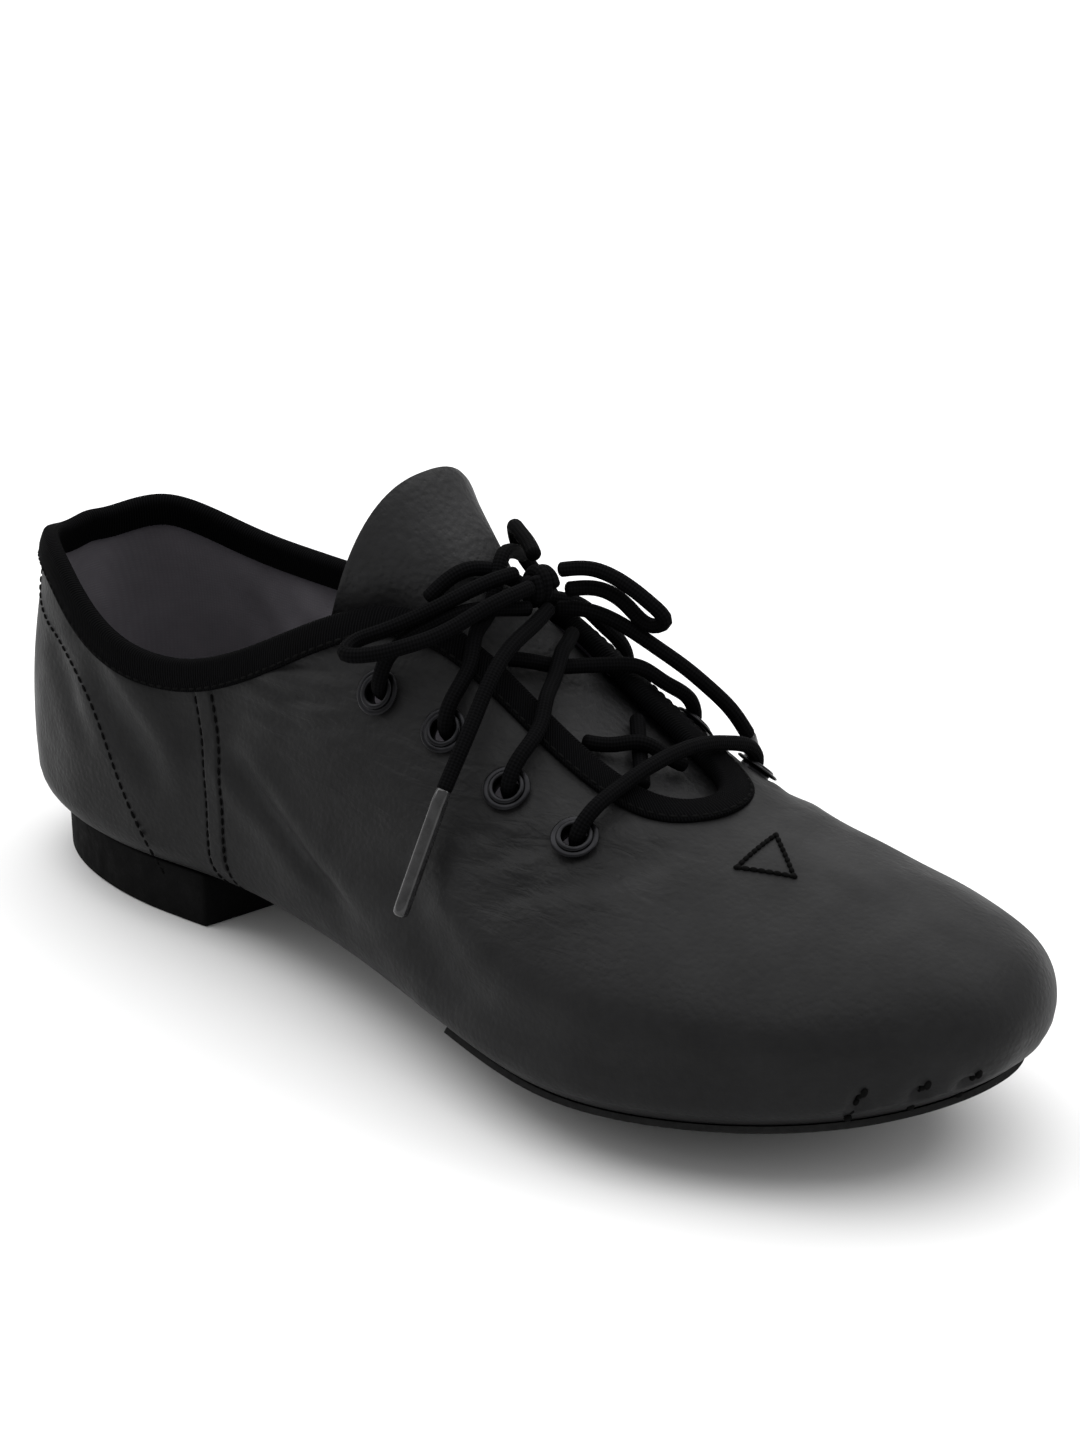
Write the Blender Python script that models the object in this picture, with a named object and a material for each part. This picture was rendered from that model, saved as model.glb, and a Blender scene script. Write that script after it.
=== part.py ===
"""Split-sole jazz shoe for the right foot, laced through four pairs of eyelets.

Metres. +X points to the toe, +Y to the inner side of the foot and +Z up. The shoe stands on its heel
and on the flat of its forefoot sole, both at z = 0. A last, given as sections along the foot, is the
outside of the upper, and every other piece takes its place from that surface.
"""
import math

import bmesh
import bpy
import numpy as np
from mathutils import Matrix, Vector

# Driving sizes
LENGTH = 0.245
BALL_WIDTH = 0.088
INSTEP_HEIGHT = 0.082
HEEL_HEIGHT = 0.0095
SOLE_THICKNESS = 0.0012
TOE_SPRING = 0.0145
WALL = 0.0015
CLEARANCE = 0.0003

# Binding round the collar and throat
BINDING_WIDTH = 0.005
BINDING_THICKNESS = 0.0007

# Raised seam down each side
SEAM_PLACE = 0.0675
SEAM_WIDTH = 0.0042
SEAM_RISE = 0.0005

# Heel, forefoot sole and insole, measured inwards from the widest outline of the upper
HEEL_INSET = 0.0065
HEEL_TAPER = 0.0006
SOLE_INSET = 0.002
SOLE_PRESS = 0.001
LASTING_MARGIN = 0.009
INSOLE_THICKNESS = 0.0018

# Eyelets
EYELET_ROWS = 4
EYELET_FIRST = 0.1145
EYELET_PITCH = 0.0165
EYELET_SETBACK = 0.0163
EYELET_RADIUS = 0.0046
EYELET_BARREL = 0.003
EYELET_BORE = 0.0024
EYELET_RIM = 0.0007
EYELET_SIDES = 12
EYELET_BOW = 1.6 * EYELET_RADIUS**2 / BALL_WIDTH

# Tongue
TONGUE_TOP = 0.102
TONGUE_BASE = 0.19
TONGUE_HALF_WIDTH = 5 / 22 * BALL_WIDTH
TONGUE_THICKNESS = 0.0016
TONGUE_RISE = 0.0117
TONGUE_ARCH = 0.0195

# Lace
LACE_DIAMETER = 0.003
TIP_FILM = 0.0002

# Sections of the last. along: share of LENGTH. side, outer and inner: where the middle lies and how far
# each side reaches from it, shares of BALL_WIDTH. seat: share of the heel's lift. toe: share of
# TOE_SPRING. wide and above: height of the widest line over the underside and of the ridge over the
# widest line, shares of INSTEP_HEIGHT. full: how much of its depth the underside has. square: exponent
# of the underside's curve, from round to flat.
LAST_COLUMNS = ("along", "side", "outer", "inner", "seat", "toe", "wide", "full", "above", "square")
LAST = (
    (0.000, 0.000, 0.000, 0.000, 1.08, 0.00, 0.188, 0.00, 0.000, 3.4),
    (0.012, 0.000, 0.148, 0.148, 1.06, 0.00, 0.191, 0.80, 0.463, 3.4),
    (0.040, 0.000, 0.244, 0.244, 1.03, 0.00, 0.195, 0.95, 0.805, 3.4),
    (0.100, 0.000, 0.330, 0.318, 1.00, 0.00, 0.198, 1.00, 0.988, 3.4),
    (0.200, 0.000, 0.364, 0.335, 0.96, 0.00, 0.202, 1.00, 1.024, 3.3),
    (0.300, 0.006, 0.347, 0.330, 0.92, 0.00, 0.218, 1.00, 0.939, 3.0),
    (0.400, 0.017, 0.381, 0.330, 0.83, 0.00, 0.215, 1.00, 0.817, 2.8),
    (0.500, 0.034, 0.443, 0.364, 0.57, 0.00, 0.217, 1.00, 0.707, 2.6),
    (0.600, 0.045, 0.516, 0.415, 0.18, 0.00, 0.231, 1.00, 0.554, 2.3),
    (0.700, 0.051, 0.560, 0.438, 0.00, 0.00, 0.231, 1.00, 0.446, 2.2),
    (0.800, 0.066, 0.530, 0.445, 0.00, 0.20, 0.208, 1.00, 0.363, 2.2),
    (0.900, 0.085, 0.408, 0.389, 0.00, 0.60, 0.174, 1.00, 0.268, 2.2),
    (0.970, 0.099, 0.220, 0.240, 0.00, 1.09, 0.127, 0.87, 0.168, 2.3),
    (1.000, 0.099, 0.000, 0.000, 0.00, 1.25, 0.121, 0.00, 0.000, 2.3),
)

# Ribs run from the opening's rim over the widest line and under the foot to its middle. rib: order from
# the back of the heel to the tip of the toe. rim and middle: where a rib starts and ends, shares of
# LENGTH. edge: where it crosses the widest line, share of the way round it. outer and inner: degrees
# from the ridge down to the rim on each side.
RIB_COLUMNS = ("rib", "rim", "outer", "inner", "edge", "middle")
RIBS = (
    (0.000, 0.014, 0.0, 0.0, 0.000, 0.100),
    (0.100, 0.029, 43.0, 44.0, 0.100, 0.105),
    (0.200, 0.094, 58.5, 62.0, 0.205, 0.125),
    (0.300, 0.196, 67.0, 64.5, 0.310, 0.235),
    (0.355, 0.2755, 65.0, 62.5, 0.372, 0.327),
    (0.420, 0.367, 49.5, 53.0, 0.440, 0.430),
    (0.480, 0.437, 31.0, 38.0, 0.500, 0.510),
    (0.540, 0.494, 21.5, 27.5, 0.560, 0.595),
    (0.620, 0.571, 17.0, 21.5, 0.640, 0.700),
    (0.720, 0.649, 14.5, 17.5, 0.735, 0.790),
    (0.820, 0.690, 11.0, 12.5, 0.825, 0.840),
    (0.910, 0.708, 6.0, 7.0, 0.912, 0.860),
    (1.000, 0.714, 0.0, 0.0, 1.000, 0.865),
)
RIBS_PER_SIDE = 28
HEEL_END_RIB = 0.33
SOLE_START_RIB = 0.53
WALL_ROWS = (0.25, 0.4, 0.56, 0.72, 0.87, 1.0)
UNDER_ROWS = (0.4, 1.0)

# Tongue, from its free top to its base under the vamp. way: share of the way along it. rise: height of its
# crown over the last's ridge, share of TONGUE_RISE. depth: how far it lies under the last, share of the
# depth that lets a lace pass between tongue and throat. width and arch: shares of its half width and of
# the drop from crown to side.
TONGUE_COLUMNS = ("way", "rise", "depth", "width", "arch")
TONGUE = (
    (0.000, 1.00, 0.00, 1.00, 1.00),
    (0.045, 0.72, 0.00, 0.90, 0.97),
    (0.100, 0.50, 0.00, 0.76, 0.92),
    (0.160, 0.22, 0.00, 0.66, 0.88),
    (0.230, 0.00, 0.30, 0.64, 0.84),
    (0.300, 0.00, 0.80, 0.80, 0.72),
    (0.380, 0.00, 1.10, 0.94, 0.58),
    (0.550, 0.00, 1.04, 0.98, 0.46),
    (0.800, 0.00, 0.76, 0.90, 0.36),
    (0.920, 0.00, 0.50, 0.78, 0.30),
    (1.000, 0.00, 0.43, 0.65, 0.25),
)
TONGUE_DEPTH = WALL + LACE_DIAMETER + 2 * CLEARANCE

# Knot, and routes of the lace where it lies free: points along each length, in metres. They are laid for
# the sizes in LAID_FOR and stretch with LENGTH, BALL_WIDTH and INSTEP_HEIGHT.
LAID_FOR = (0.245, 0.088, 0.082)
KNOT_PLACE = (0.1278, 0.0058, 0.0852)
KNOT_RADII = (0.0038, 0.0034, 0.0042)
OUTER_TIE = (
    (0.1160, -0.0232, 0.0752),
    (0.1176, -0.0202, 0.0785),
    (0.1206, -0.0156, 0.0812),
    (0.1246, -0.0098, 0.0836),
    (0.1278, -0.0044, 0.0834),
    (0.1300, 0.0006, 0.0826),
)
INNER_TIE = (
    (0.1122, 0.0242, 0.0760),
    (0.1094, 0.0206, 0.0830),
    (0.1108, 0.0172, 0.0893),
    (0.1156, 0.0136, 0.0906),
    (0.1212, 0.0104, 0.0904),
    (0.1244, 0.0082, 0.0900),
)
BOW_ROUTES = {
    "lace_loop_outer": (
        (0.1262, 0.0008, 0.0885),
        (0.1254, -0.0032, 0.0884),
        (0.1240, -0.0080, 0.0874),
        (0.1212, -0.0138, 0.0850),
        (0.1180, -0.0190, 0.0826),
        (0.1140, -0.0240, 0.0802),
        (0.1112, -0.0276, 0.0784),
        (0.1122, -0.0306, 0.0776),
        (0.1166, -0.0288, 0.0780),
        (0.1208, -0.0250, 0.0794),
        (0.1246, -0.0200, 0.0812),
        (0.1270, -0.0150, 0.0832),
        (0.1290, -0.0090, 0.0856),
        (0.1300, -0.0036, 0.0866),
        (0.1302, 0.0008, 0.0868),
    ),
    "lace_loop_inner": (
        (0.1296, 0.0106, 0.0876),
        (0.1340, 0.0140, 0.0880),
        (0.1400, 0.0170, 0.0858),
        (0.1452, 0.0192, 0.0822),
        (0.1472, 0.0206, 0.0790),
        (0.1450, 0.0201, 0.0776),
        (0.1399, 0.0178, 0.0811),
        (0.1344, 0.0150, 0.0838),
        (0.1310, 0.0112, 0.0838),
    ),
    "lace_end_outer": (
        (0.1316, 0.0046, 0.0817),
        (0.1332, -0.0006, 0.0808),
        (0.1346, -0.0064, 0.0800),
        (0.1358, -0.0124, 0.0780),
        (0.1372, -0.0180, 0.0742),
        (0.1386, -0.0234, 0.0690),
        (0.1394, -0.0278, 0.0642),
        (0.1400, -0.0322, 0.0590),
    ),
    "lace_end_inner": (
        (0.1300, 0.0098, 0.0800),
        (0.1336, 0.0128, 0.0798),
        (0.1376, 0.0156, 0.0784),
        (0.1418, 0.0184, 0.0757),
        (0.1458, 0.0212, 0.0725),
        (0.1492, 0.0244, 0.0690),
        (0.1520, 0.0284, 0.0644),
        (0.1542, 0.0328, 0.0590),
        (0.1554, 0.0366, 0.0530),
    ),
}
TIP_ROUTES = {
    "lace_tip_outer": ((0.1400, -0.0325, 0.0586), (0.1392, -0.0430, 0.0370)),
    "lace_tip_inner": ((0.1555, 0.0370, 0.0523), (0.1560, 0.0434, 0.0290)),
}

# Colours: red, green, blue, roughness, metallic
LEATHER = (0.030, 0.030, 0.032, 0.50, 0.0)
LINING = (0.200, 0.185, 0.200, 0.85, 0.0)
RIBBON = (0.012, 0.012, 0.013, 0.90, 0.0)
RUBBER = (0.020, 0.020, 0.021, 0.80, 0.0)
SUEDE = (0.035, 0.034, 0.034, 0.95, 0.0)
GUNMETAL = (0.060, 0.060, 0.065, 0.35, 1.0)
CORD = (0.014, 0.014, 0.015, 0.85, 0.0)
CLEAR_TIP = (0.100, 0.100, 0.105, 0.20, 0.0)


def material(name, look):
    red, green, blue, roughness, metallic = look
    made = bpy.data.materials.new(name)
    made.use_nodes = True
    shader = made.node_tree.nodes["Principled BSDF"]
    shader.inputs["Base Color"].default_value = (red, green, blue, 1.0)
    shader.inputs["Roughness"].default_value = roughness
    shader.inputs["Metallic"].default_value = metallic
    made.diffuse_color = (red, green, blue, 1.0)
    return made


def natural_spline(knots, values, at):
    """Smooth curve through a table's values, straight at both ends."""
    knots = np.asarray(knots, float)
    values = np.asarray(values, float)
    at = np.clip(np.asarray(at, float), knots[0], knots[-1])
    step = np.diff(knots)
    count = len(knots)
    system = np.eye(count)
    right = np.zeros(count)
    for i in range(1, count - 1):
        system[i, i - 1] = step[i - 1]
        system[i, i] = 2 * (step[i - 1] + step[i])
        system[i, i + 1] = step[i]
        rise = (values[i + 1] - values[i]) / step[i]
        right[i] = 6 * (rise - (values[i] - values[i - 1]) / step[i - 1])
    bend = np.linalg.solve(system, right)
    k = np.clip(np.searchsorted(knots, at) - 1, 0, count - 2)
    after = at - knots[k]
    before = knots[k + 1] - at
    cubic = (bend[k] * before**3 + bend[k + 1] * after**3) / (6 * step[k])
    low = (values[k] / step[k] - bend[k] * step[k] / 6) * before
    high = (values[k + 1] / step[k] - bend[k + 1] * step[k] / 6) * after
    return cubic + low + high


def section(x):
    """Sizes of the last's section at x, in metres, by name."""
    turn = np.arccos(np.clip(1 - 2 * np.asarray(x, float) / LENGTH, -1, 1))
    knots = [math.acos(1 - 2 * row[0]) for row in LAST]
    value = {}
    for column, name in enumerate(LAST_COLUMNS[1:], start=1):
        value[name] = natural_spline(knots, [row[column] for row in LAST], turn)
    ground = SOLE_THICKNESS + CLEARANCE
    ground = ground + value["seat"] * (HEEL_HEIGHT - SOLE_THICKNESS) + value["toe"] * TOE_SPRING
    depth = value["wide"] * INSTEP_HEIGHT
    return {
        "middle": value["side"] * BALL_WIDTH,
        "outer": np.maximum(value["outer"] * BALL_WIDTH, 1e-6),
        "inner": np.maximum(value["inner"] * BALL_WIDTH, 1e-6),
        "widest": ground + depth,
        "depth": value["full"] * depth,
        "above": value["above"] * INSTEP_HEIGHT,
        "square": value["square"],
    }


def reach(cut, y):
    """How far out y lies in a section: 0 at its middle and 1 at its widest."""
    off = y - cut["middle"]
    return np.clip(np.abs(off) / np.where(off < 0, cut["outer"], cut["inner"]), 0, 1)


def top_height(x, y):
    cut = section(x)
    return cut["widest"] + cut["above"] * np.sqrt(1 - reach(cut, y) ** 2)


def under_height(x, y):
    cut = section(x)
    curve = (1 - reach(cut, y) ** cut["square"]) ** (1 / cut["square"])
    return cut["widest"] - cut["depth"] * curve


def lifted(height, x, y, lift):
    """Point over a height function, lifted along its normal."""
    step = 0.0004
    slope_x = (height(x + step, y) - height(x - step, y)) / (2 * step)
    slope_y = (height(x, y + step) - height(x, y - step)) / (2 * step)
    normal = Vector((-float(slope_x), -float(slope_y), 1.0)).normalized()
    return Vector((float(x), float(y), float(height(x, y)))) + normal * lift, normal


def rib_line(rib, side):
    """One rib's route: points from rim to edge and from edge to middle. side is -1 outer, 1 inner."""
    knots = [row[0] for row in RIBS]
    mirrored = [-k for k in knots[:0:-1]] + knots + [2 - k for k in knots[-2::-1]]

    def column(name, odd):
        values = [row[RIB_COLUMNS.index(name)] for row in RIBS]
        sign = -1 if odd else 1
        values = [sign * v for v in values[:0:-1]] + values + [sign * v for v in values[-2::-1]]
        return float(natural_spline(mirrored, values, rib))

    rim_x = column("rim", False) * LENGTH
    lean = math.radians(column("outer" if side < 0 else "inner", True))
    edge_x = LENGTH * (1 - math.cos(math.pi * float(np.interp(rib, knots, [r[4] for r in RIBS])))) / 2
    middle_x = float(np.interp(rib, knots, [r[5] for r in RIBS])) * LENGTH
    name = "outer" if side < 0 else "inner"
    rim_cut, edge_cut, middle_cut = section(rim_x), section(edge_x), section(middle_x)
    rim = np.array([rim_x, float(rim_cut["middle"] + side * rim_cut[name] * math.sin(lean))])
    edge = np.array([edge_x, float(edge_cut["middle"] + side * edge_cut[name])])
    middle = np.array([middle_x, float(middle_cut["middle"])])
    if rib in (0.0, 1.0):
        edge[1] = float(edge_cut["middle"])
    way = np.linspace(0, 1, 41)
    wall = rim + (edge - rim) * np.sin(way * math.pi / 2)[:, None]
    under = edge + (middle - edge) * (way**3)[:, None]
    wall = np.column_stack([wall, top_height(wall[:, 0], wall[:, 1])])
    under = np.column_stack([under, under_height(under[:, 0], under[:, 1])])
    under[0] = wall[-1]
    return wall, under


def rib_orders():
    """Order of each rib of one side, with two close pairs that bound the raised seam."""
    fine = np.linspace(0, 1, 201)
    rim = [rib_line(float(r), -1)[0][0, 0] for r in fine]
    half = SEAM_WIDTH / 2
    flank = SEAM_RISE
    seam = [float(np.interp(SEAM_PLACE + s, rim, fine)) for s in (-half - flank, -half, half, half + flank)]
    orders = [k / RIBS_PER_SIDE for k in range(RIBS_PER_SIDE + 1)]
    apart = 0.4 / RIBS_PER_SIDE
    kept = [r for r in orders if all(abs(r - s) > apart for s in seam)]
    return sorted(kept + seam), seam[1], seam[2]


class Ribs:
    """All ribs round the shoe, outer side first, then the inner side back to the heel."""

    def __init__(self):
        self.orders, self.seam_start, self.seam_end = rib_orders()
        self.loop = [(r, -1) for r in self.orders]
        self.loop += [(r, 1) for r in self.orders[-2:0:-1]]
        lines = [rib_line(r, side) for r, side in self.loop]
        self.wall = np.array([w for w, _ in lines])
        self.under = np.array([u for _, u in lines])
        self.wall_normal = self.normals(self.wall)
        self.under_normal = self.normals(self.under)
        shared = self.wall_normal[:, -1] + self.under_normal[:, 1]
        shared /= np.linalg.norm(shared, axis=1)[:, None]
        self.wall_normal[:, -1] = shared
        self.under_normal[:, 0] = shared
        mirror = self.mirror()
        self.under_normal[:, -1] = self.under_normal[:, -3] + self.under_normal[mirror, -3]
        self.under_normal[:, -1] /= np.linalg.norm(self.under_normal[:, -1], axis=1)[:, None]
        steps = np.linalg.norm(np.diff(self.wall, axis=1), axis=2)
        self.wall_length = np.concatenate([np.zeros((len(steps), 1)), np.cumsum(steps, axis=1)], axis=1)
        plan = self.under[:, :, :2] - self.under[:, :1, :2]
        self.inset = np.linalg.norm(plan, axis=2)
        self.rim_places = self.wall[:len(self.orders), 0, 0]
        self.rim_sides = {-1: self.wall[:len(self.orders), 0, 1], 1: self.wall[mirror, 0, 1][:len(self.orders)]}

    def rim_y(self, x, side):
        """How far to the side the opening's rim lies at x."""
        return float(np.interp(x, self.rim_places, self.rim_sides[side]))

    def mirror(self):
        last = len(self.orders) - 1
        return [(2 * last - i) % len(self.loop) for i in range(len(self.loop))]

    def normals(self, lines):
        along = np.gradient(lines, axis=1)
        around = np.roll(lines, -1, axis=0) - np.roll(lines, 1, axis=0)
        normal = np.cross(along, around)
        size = np.linalg.norm(normal, axis=2)
        size[size == 0] = 1
        return normal / size[:, :, None]

    def pick(self, lines, normals, measure, target):
        points = np.empty((len(lines), 3))
        facing = np.empty((len(lines), 3))
        for i in range(len(lines)):
            for axis in range(3):
                points[i, axis] = np.interp(target[i], measure[i], lines[i, :, axis])
                facing[i, axis] = np.interp(target[i], measure[i], normals[i, :, axis])
        return points, facing / np.linalg.norm(facing, axis=1)[:, None]

    def on_wall(self, share):
        """Row at a share of the way from rim to edge."""
        return self.pick(self.wall, self.wall_normal, self.wall_length, self.wall_length[:, -1] * share)

    def from_rim(self, distance):
        """Row at a distance from the rim, measured square to it."""
        rim, facing = self.wall[:, 0], self.wall_normal[:, 0]
        around = np.roll(rim, -1, axis=0) - np.roll(rim, 1, axis=0)
        around /= np.linalg.norm(around, axis=1)[:, None]
        down = self.wall[:, 3] - rim
        down /= np.linalg.norm(down, axis=1)[:, None]
        square = np.sqrt(np.clip(1 - (around * down).sum(axis=1) ** 2, 0.25, 1))
        return self.pick(self.wall, self.wall_normal, self.wall_length, distance / square)

    def under_foot(self, inset):
        """Row under the foot at a plan distance in from the widest outline."""
        target = np.full(len(self.loop), inset)
        return self.pick(self.under, self.under_normal, self.inset, target)

    def to_middle(self, inset, share):
        """Row at a share of the way from an inset line to the middle."""
        target = inset + (self.inset[:, -1] - inset) * share
        return self.pick(self.under, self.under_normal, self.inset, target)

    def cells(self, rows, keep):
        """Faces of a grid of rows by ribs, the last row shared by both sides where it is the middle."""
        count = len(self.loop)
        mirror = self.mirror()
        faces = []

        def corner(row, rib):
            rib %= count
            if row == rows - 1:
                rib = min(rib, mirror[rib])
            return row * count + rib

        for row in range(rows - 1):
            for rib in range(count):
                if keep(row, rib):
                    face = [corner(row, rib), corner(row + 1, rib), corner(row + 1, rib + 1), corner(row, rib + 1)]
                    face = [v for k, v in enumerate(face) if v not in face[:k]]
                    if len(face) > 2:
                        faces.append(face)
        return faces

    def between(self, rib, low, high):
        """Whether the strip after this rib lies between two rib orders."""
        count = len(self.loop)
        first, second = self.loop[rib % count][0], self.loop[(rib + 1) % count][0]
        return low - 1e-9 <= min(first, second) and max(first, second) <= high + 1e-9


def sheet(name, outside, inside, faces, look):
    """Closed solid between two layers of points that share their faces."""
    count = len(outside)
    used = sorted({v for face in faces for v in face})
    order = {v: k for k, v in enumerate(used)}
    points = [outside[v] for v in used] + [inside[v] for v in used]
    shift = len(used)
    skin = [[order[v] for v in face] for face in faces]
    edges = {}
    for face in skin:
        for a, b in zip(face, face[1:] + face[:1]):
            edges[(a, b)] = True
    sides = [[b, a, a + shift, b + shift] for a, b in edges if (b, a) not in edges]
    back = [[v + shift for v in reversed(face)] for face in skin]
    mesh = bpy.data.meshes.new(name)
    mesh.from_pydata([tuple(map(float, p)) for p in points], [], skin + back + sides)
    assert count == len(inside)
    return finish(name, mesh, look)


def finish(name, mesh, look, smooth=math.radians(40)):
    """Object of a closed mesh, faces outwards, shaded smooth but for its sharp edges."""
    work = bmesh.new()
    work.from_mesh(mesh)
    bmesh.ops.remove_doubles(work, verts=work.verts, dist=0.000002)
    bmesh.ops.recalc_face_normals(work, faces=work.faces)
    work.to_mesh(mesh)
    work.free()
    mesh.shade_smooth()
    mesh.set_sharp_from_angle(angle=smooth)
    mesh.materials.append(MATERIALS[look])
    made = bpy.data.objects.new(name, mesh)
    bpy.context.scene.collection.objects.link(made)
    return made


def stack(rows):
    """Layers of points and normals as flat lists."""
    return np.concatenate([p for p, _ in rows]), np.concatenate([n for _, n in rows])


def foot_rows(ribs):
    """Rows that the pieces under the foot share, from the heel's outline to the middle."""
    window = HEEL_INSET + LASTING_MARGIN
    rows = [ribs.under_foot(HEEL_INSET), ribs.under_foot(window)]
    return rows + [ribs.to_middle(window, share) for share in (0.5, 1.0)]


def build_upper(ribs):
    rows = [ribs.from_rim(0.0), ribs.from_rim(BINDING_WIDTH)]
    rows += [ribs.on_wall(share) for share in WALL_ROWS]
    rows += [ribs.under_foot(SOLE_INSET * share) for share in UNDER_ROWS]
    rows += foot_rows(ribs)
    points, normals = stack(rows)
    last_margin = len(rows) - 3
    seam = np.array([SEAM_RISE if ribs.seam_start - 1e-9 <= r <= ribs.seam_end + 1e-9 else 0.0
                     for r, _ in ribs.loop])
    fade = np.ones(len(rows))
    fade[:2] = 0
    fade[last_margin - 1:] = 0
    rise = (fade[:, None] * seam[None, :]).ravel()

    def keep(row, rib):
        return row < last_margin or ribs.between(rib, HEEL_END_RIB, SOLE_START_RIB)

    faces = ribs.cells(len(rows), keep)
    return sheet("upper", points + normals * rise[:, None], points - normals * WALL, faces, "leather")


def build_binding(ribs):
    """Ribbon folded over the rim: outer leg, rounded top and inner leg."""
    near, far = CLEARANCE, CLEARANCE + BINDING_THICKNESS
    rim, rim_normal = ribs.from_rim(0.0)
    tip, tip_normal = ribs.from_rim(BINDING_WIDTH)
    down = ribs.wall[:, 3] - rim
    down /= np.linalg.norm(down, axis=1)[:, None]
    around = np.roll(rim, -1, axis=0) - np.roll(rim, 1, axis=0)
    around /= np.linalg.norm(around, axis=1)[:, None]
    over = np.cross(rim_normal, around)
    over *= np.where((over * down).sum(axis=1) > 0, -1, 1)[:, None]
    corner = 0.7
    ring = [
        tip + tip_normal * far,
        rim + rim_normal * far,
        rim + rim_normal * far * corner + over * far * corner,
        rim - rim_normal * WALL / 2 + over * far,
        rim - rim_normal * (WALL + far * corner) + over * far * corner,
        rim - rim_normal * (WALL + far),
        tip - tip_normal * (WALL + far),
        tip - tip_normal * (WALL + near),
        rim - rim_normal * (WALL + near),
        rim - rim_normal * WALL + over * near,
        rim + over * near,
        rim + rim_normal * near,
        tip + tip_normal * near,
    ]
    count = len(rim)
    points = np.concatenate(ring)
    faces = []
    for k in range(len(ring)):
        m = (k + 1) % len(ring)
        for i in range(count):
            j = (i + 1) % count
            faces.append([k * count + i, k * count + j, m * count + j, m * count + i])
    mesh = bpy.data.meshes.new("binding")
    mesh.from_pydata([tuple(map(float, p)) for p in points], [], faces)
    return finish("binding", mesh, "ribbon")


def build_insole(ribs):
    rows = foot_rows(ribs)
    points, normals = stack(rows)
    faces = ribs.cells(len(rows), lambda row, rib: True)
    low = points - normals * (WALL + CLEARANCE)
    high = points - normals * (WALL + CLEARANCE + INSOLE_THICKNESS)
    return sheet("insole", low, high, faces, "lining")


def build_forefoot_sole(ribs):
    rows = [ribs.under_foot(SOLE_INSET)] + foot_rows(ribs)
    points, normals = stack(rows)
    faces = ribs.cells(len(rows), lambda row, rib: ribs.between(rib, SOLE_START_RIB, 1.0))
    top = points + normals * CLEARANCE
    base = points + normals * (CLEARANCE + SOLE_THICKNESS)
    pressed = np.clip(1.25 - base[:, 2] / (4 * SOLE_PRESS), 0, 1)
    base[:, 2] = np.maximum(base[:, 2] - pressed * SOLE_PRESS, 0.0)
    return sheet("forefoot_sole", base, top, faces, "suede")


def build_heel(ribs):
    rows = foot_rows(ribs)
    points, normals = stack(rows)
    faces = ribs.cells(len(rows), lambda row, rib: ribs.between(rib, 0.0, HEEL_END_RIB))
    top = points + normals * CLEARANCE
    base = points.copy()
    edge = len(ribs.loop)
    inward = normals[:edge].copy()
    inward[:, 2] = 0
    base[:edge] -= inward * HEEL_TAPER
    base[:, 2] = 0.0
    return sheet("heel", base, top, faces, "rubber")


def tongue_row(ribs, x):
    """Crown of the tongue at x, the way down from it, and the row's half width and arch."""
    knots = [row[0] for row in TONGUE]

    def crown_at(place):
        way = (place - TONGUE_TOP) / (TONGUE_BASE - TONGUE_TOP)
        rise, depth = (float(natural_spline(knots, [row[k] for row in TONGUE], way)) for k in (1, 2))
        cut = section(place)
        slope = float(top_height(place + 0.001, cut["middle"]) - top_height(place - 0.001, cut["middle"])) / 0.002
        lean = math.sqrt(1 + slope**2)
        height = float(cut["widest"] + cut["above"]) + rise * TONGUE_RISE - depth * TONGUE_DEPTH * lean
        last = ribs.rim_places[-2]
        centre = (ribs.rim_y(min(place, last), -1) + ribs.rim_y(min(place, last), 1)) / 2
        return Vector((place, centre, height))

    step = 0.001
    crown = crown_at(x)
    along = (crown_at(x + step) - crown_at(x - step)).normalized()
    down = Vector((along.z, 0.0, -along.x)).normalized()
    way = (x - TONGUE_TOP) / (TONGUE_BASE - TONGUE_TOP)
    width, arch = (float(natural_spline(knots, [row[k] for row in TONGUE], way)) for k in (3, 4))
    return crown, down, width * TONGUE_HALF_WIDTH, arch * TONGUE_ARCH


def tongue_point(ribs, x, off, lift):
    """Point over the tongue's face, off sideways from its crown and lifted along its normal."""
    crown, down, half, arch = tongue_row(ribs, x)

    def face(across):
        share = min(abs(across) / half, 1.0)
        return crown + Vector((0, across, 0)) + down * arch * (1 - (1 - share**2.5) ** 0.4)

    near, far = max(off - 0.0002, -half), min(off + 0.0002, half)
    across = face(far) - face(near)
    ahead = (tongue_row(ribs, x + 0.001)[0] - tongue_row(ribs, x - 0.001)[0]).normalized()
    normal = ahead.cross(across).normalized()
    return face(off) + normal * lift


def build_tongue(ribs):
    along, across = 18, 12
    face, back = [], []
    for i in range(along + 1):
        x = TONGUE_TOP + (TONGUE_BASE - TONGUE_TOP) * i / along
        half = tongue_row(ribs, x)[2]
        for k in range(across + 1):
            off = half * math.sin(math.pi * (k / across - 0.5))
            face.append(tongue_point(ribs, x, off, 0.0))
            back.append(tongue_point(ribs, x, off, -TONGUE_THICKNESS))
    step = across + 1
    faces = [[i * step + k, (i + 1) * step + k, (i + 1) * step + k + 1, i * step + k + 1]
             for i in range(along) for k in range(across)]
    return sheet("tongue", face, back, faces, "leather")


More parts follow.
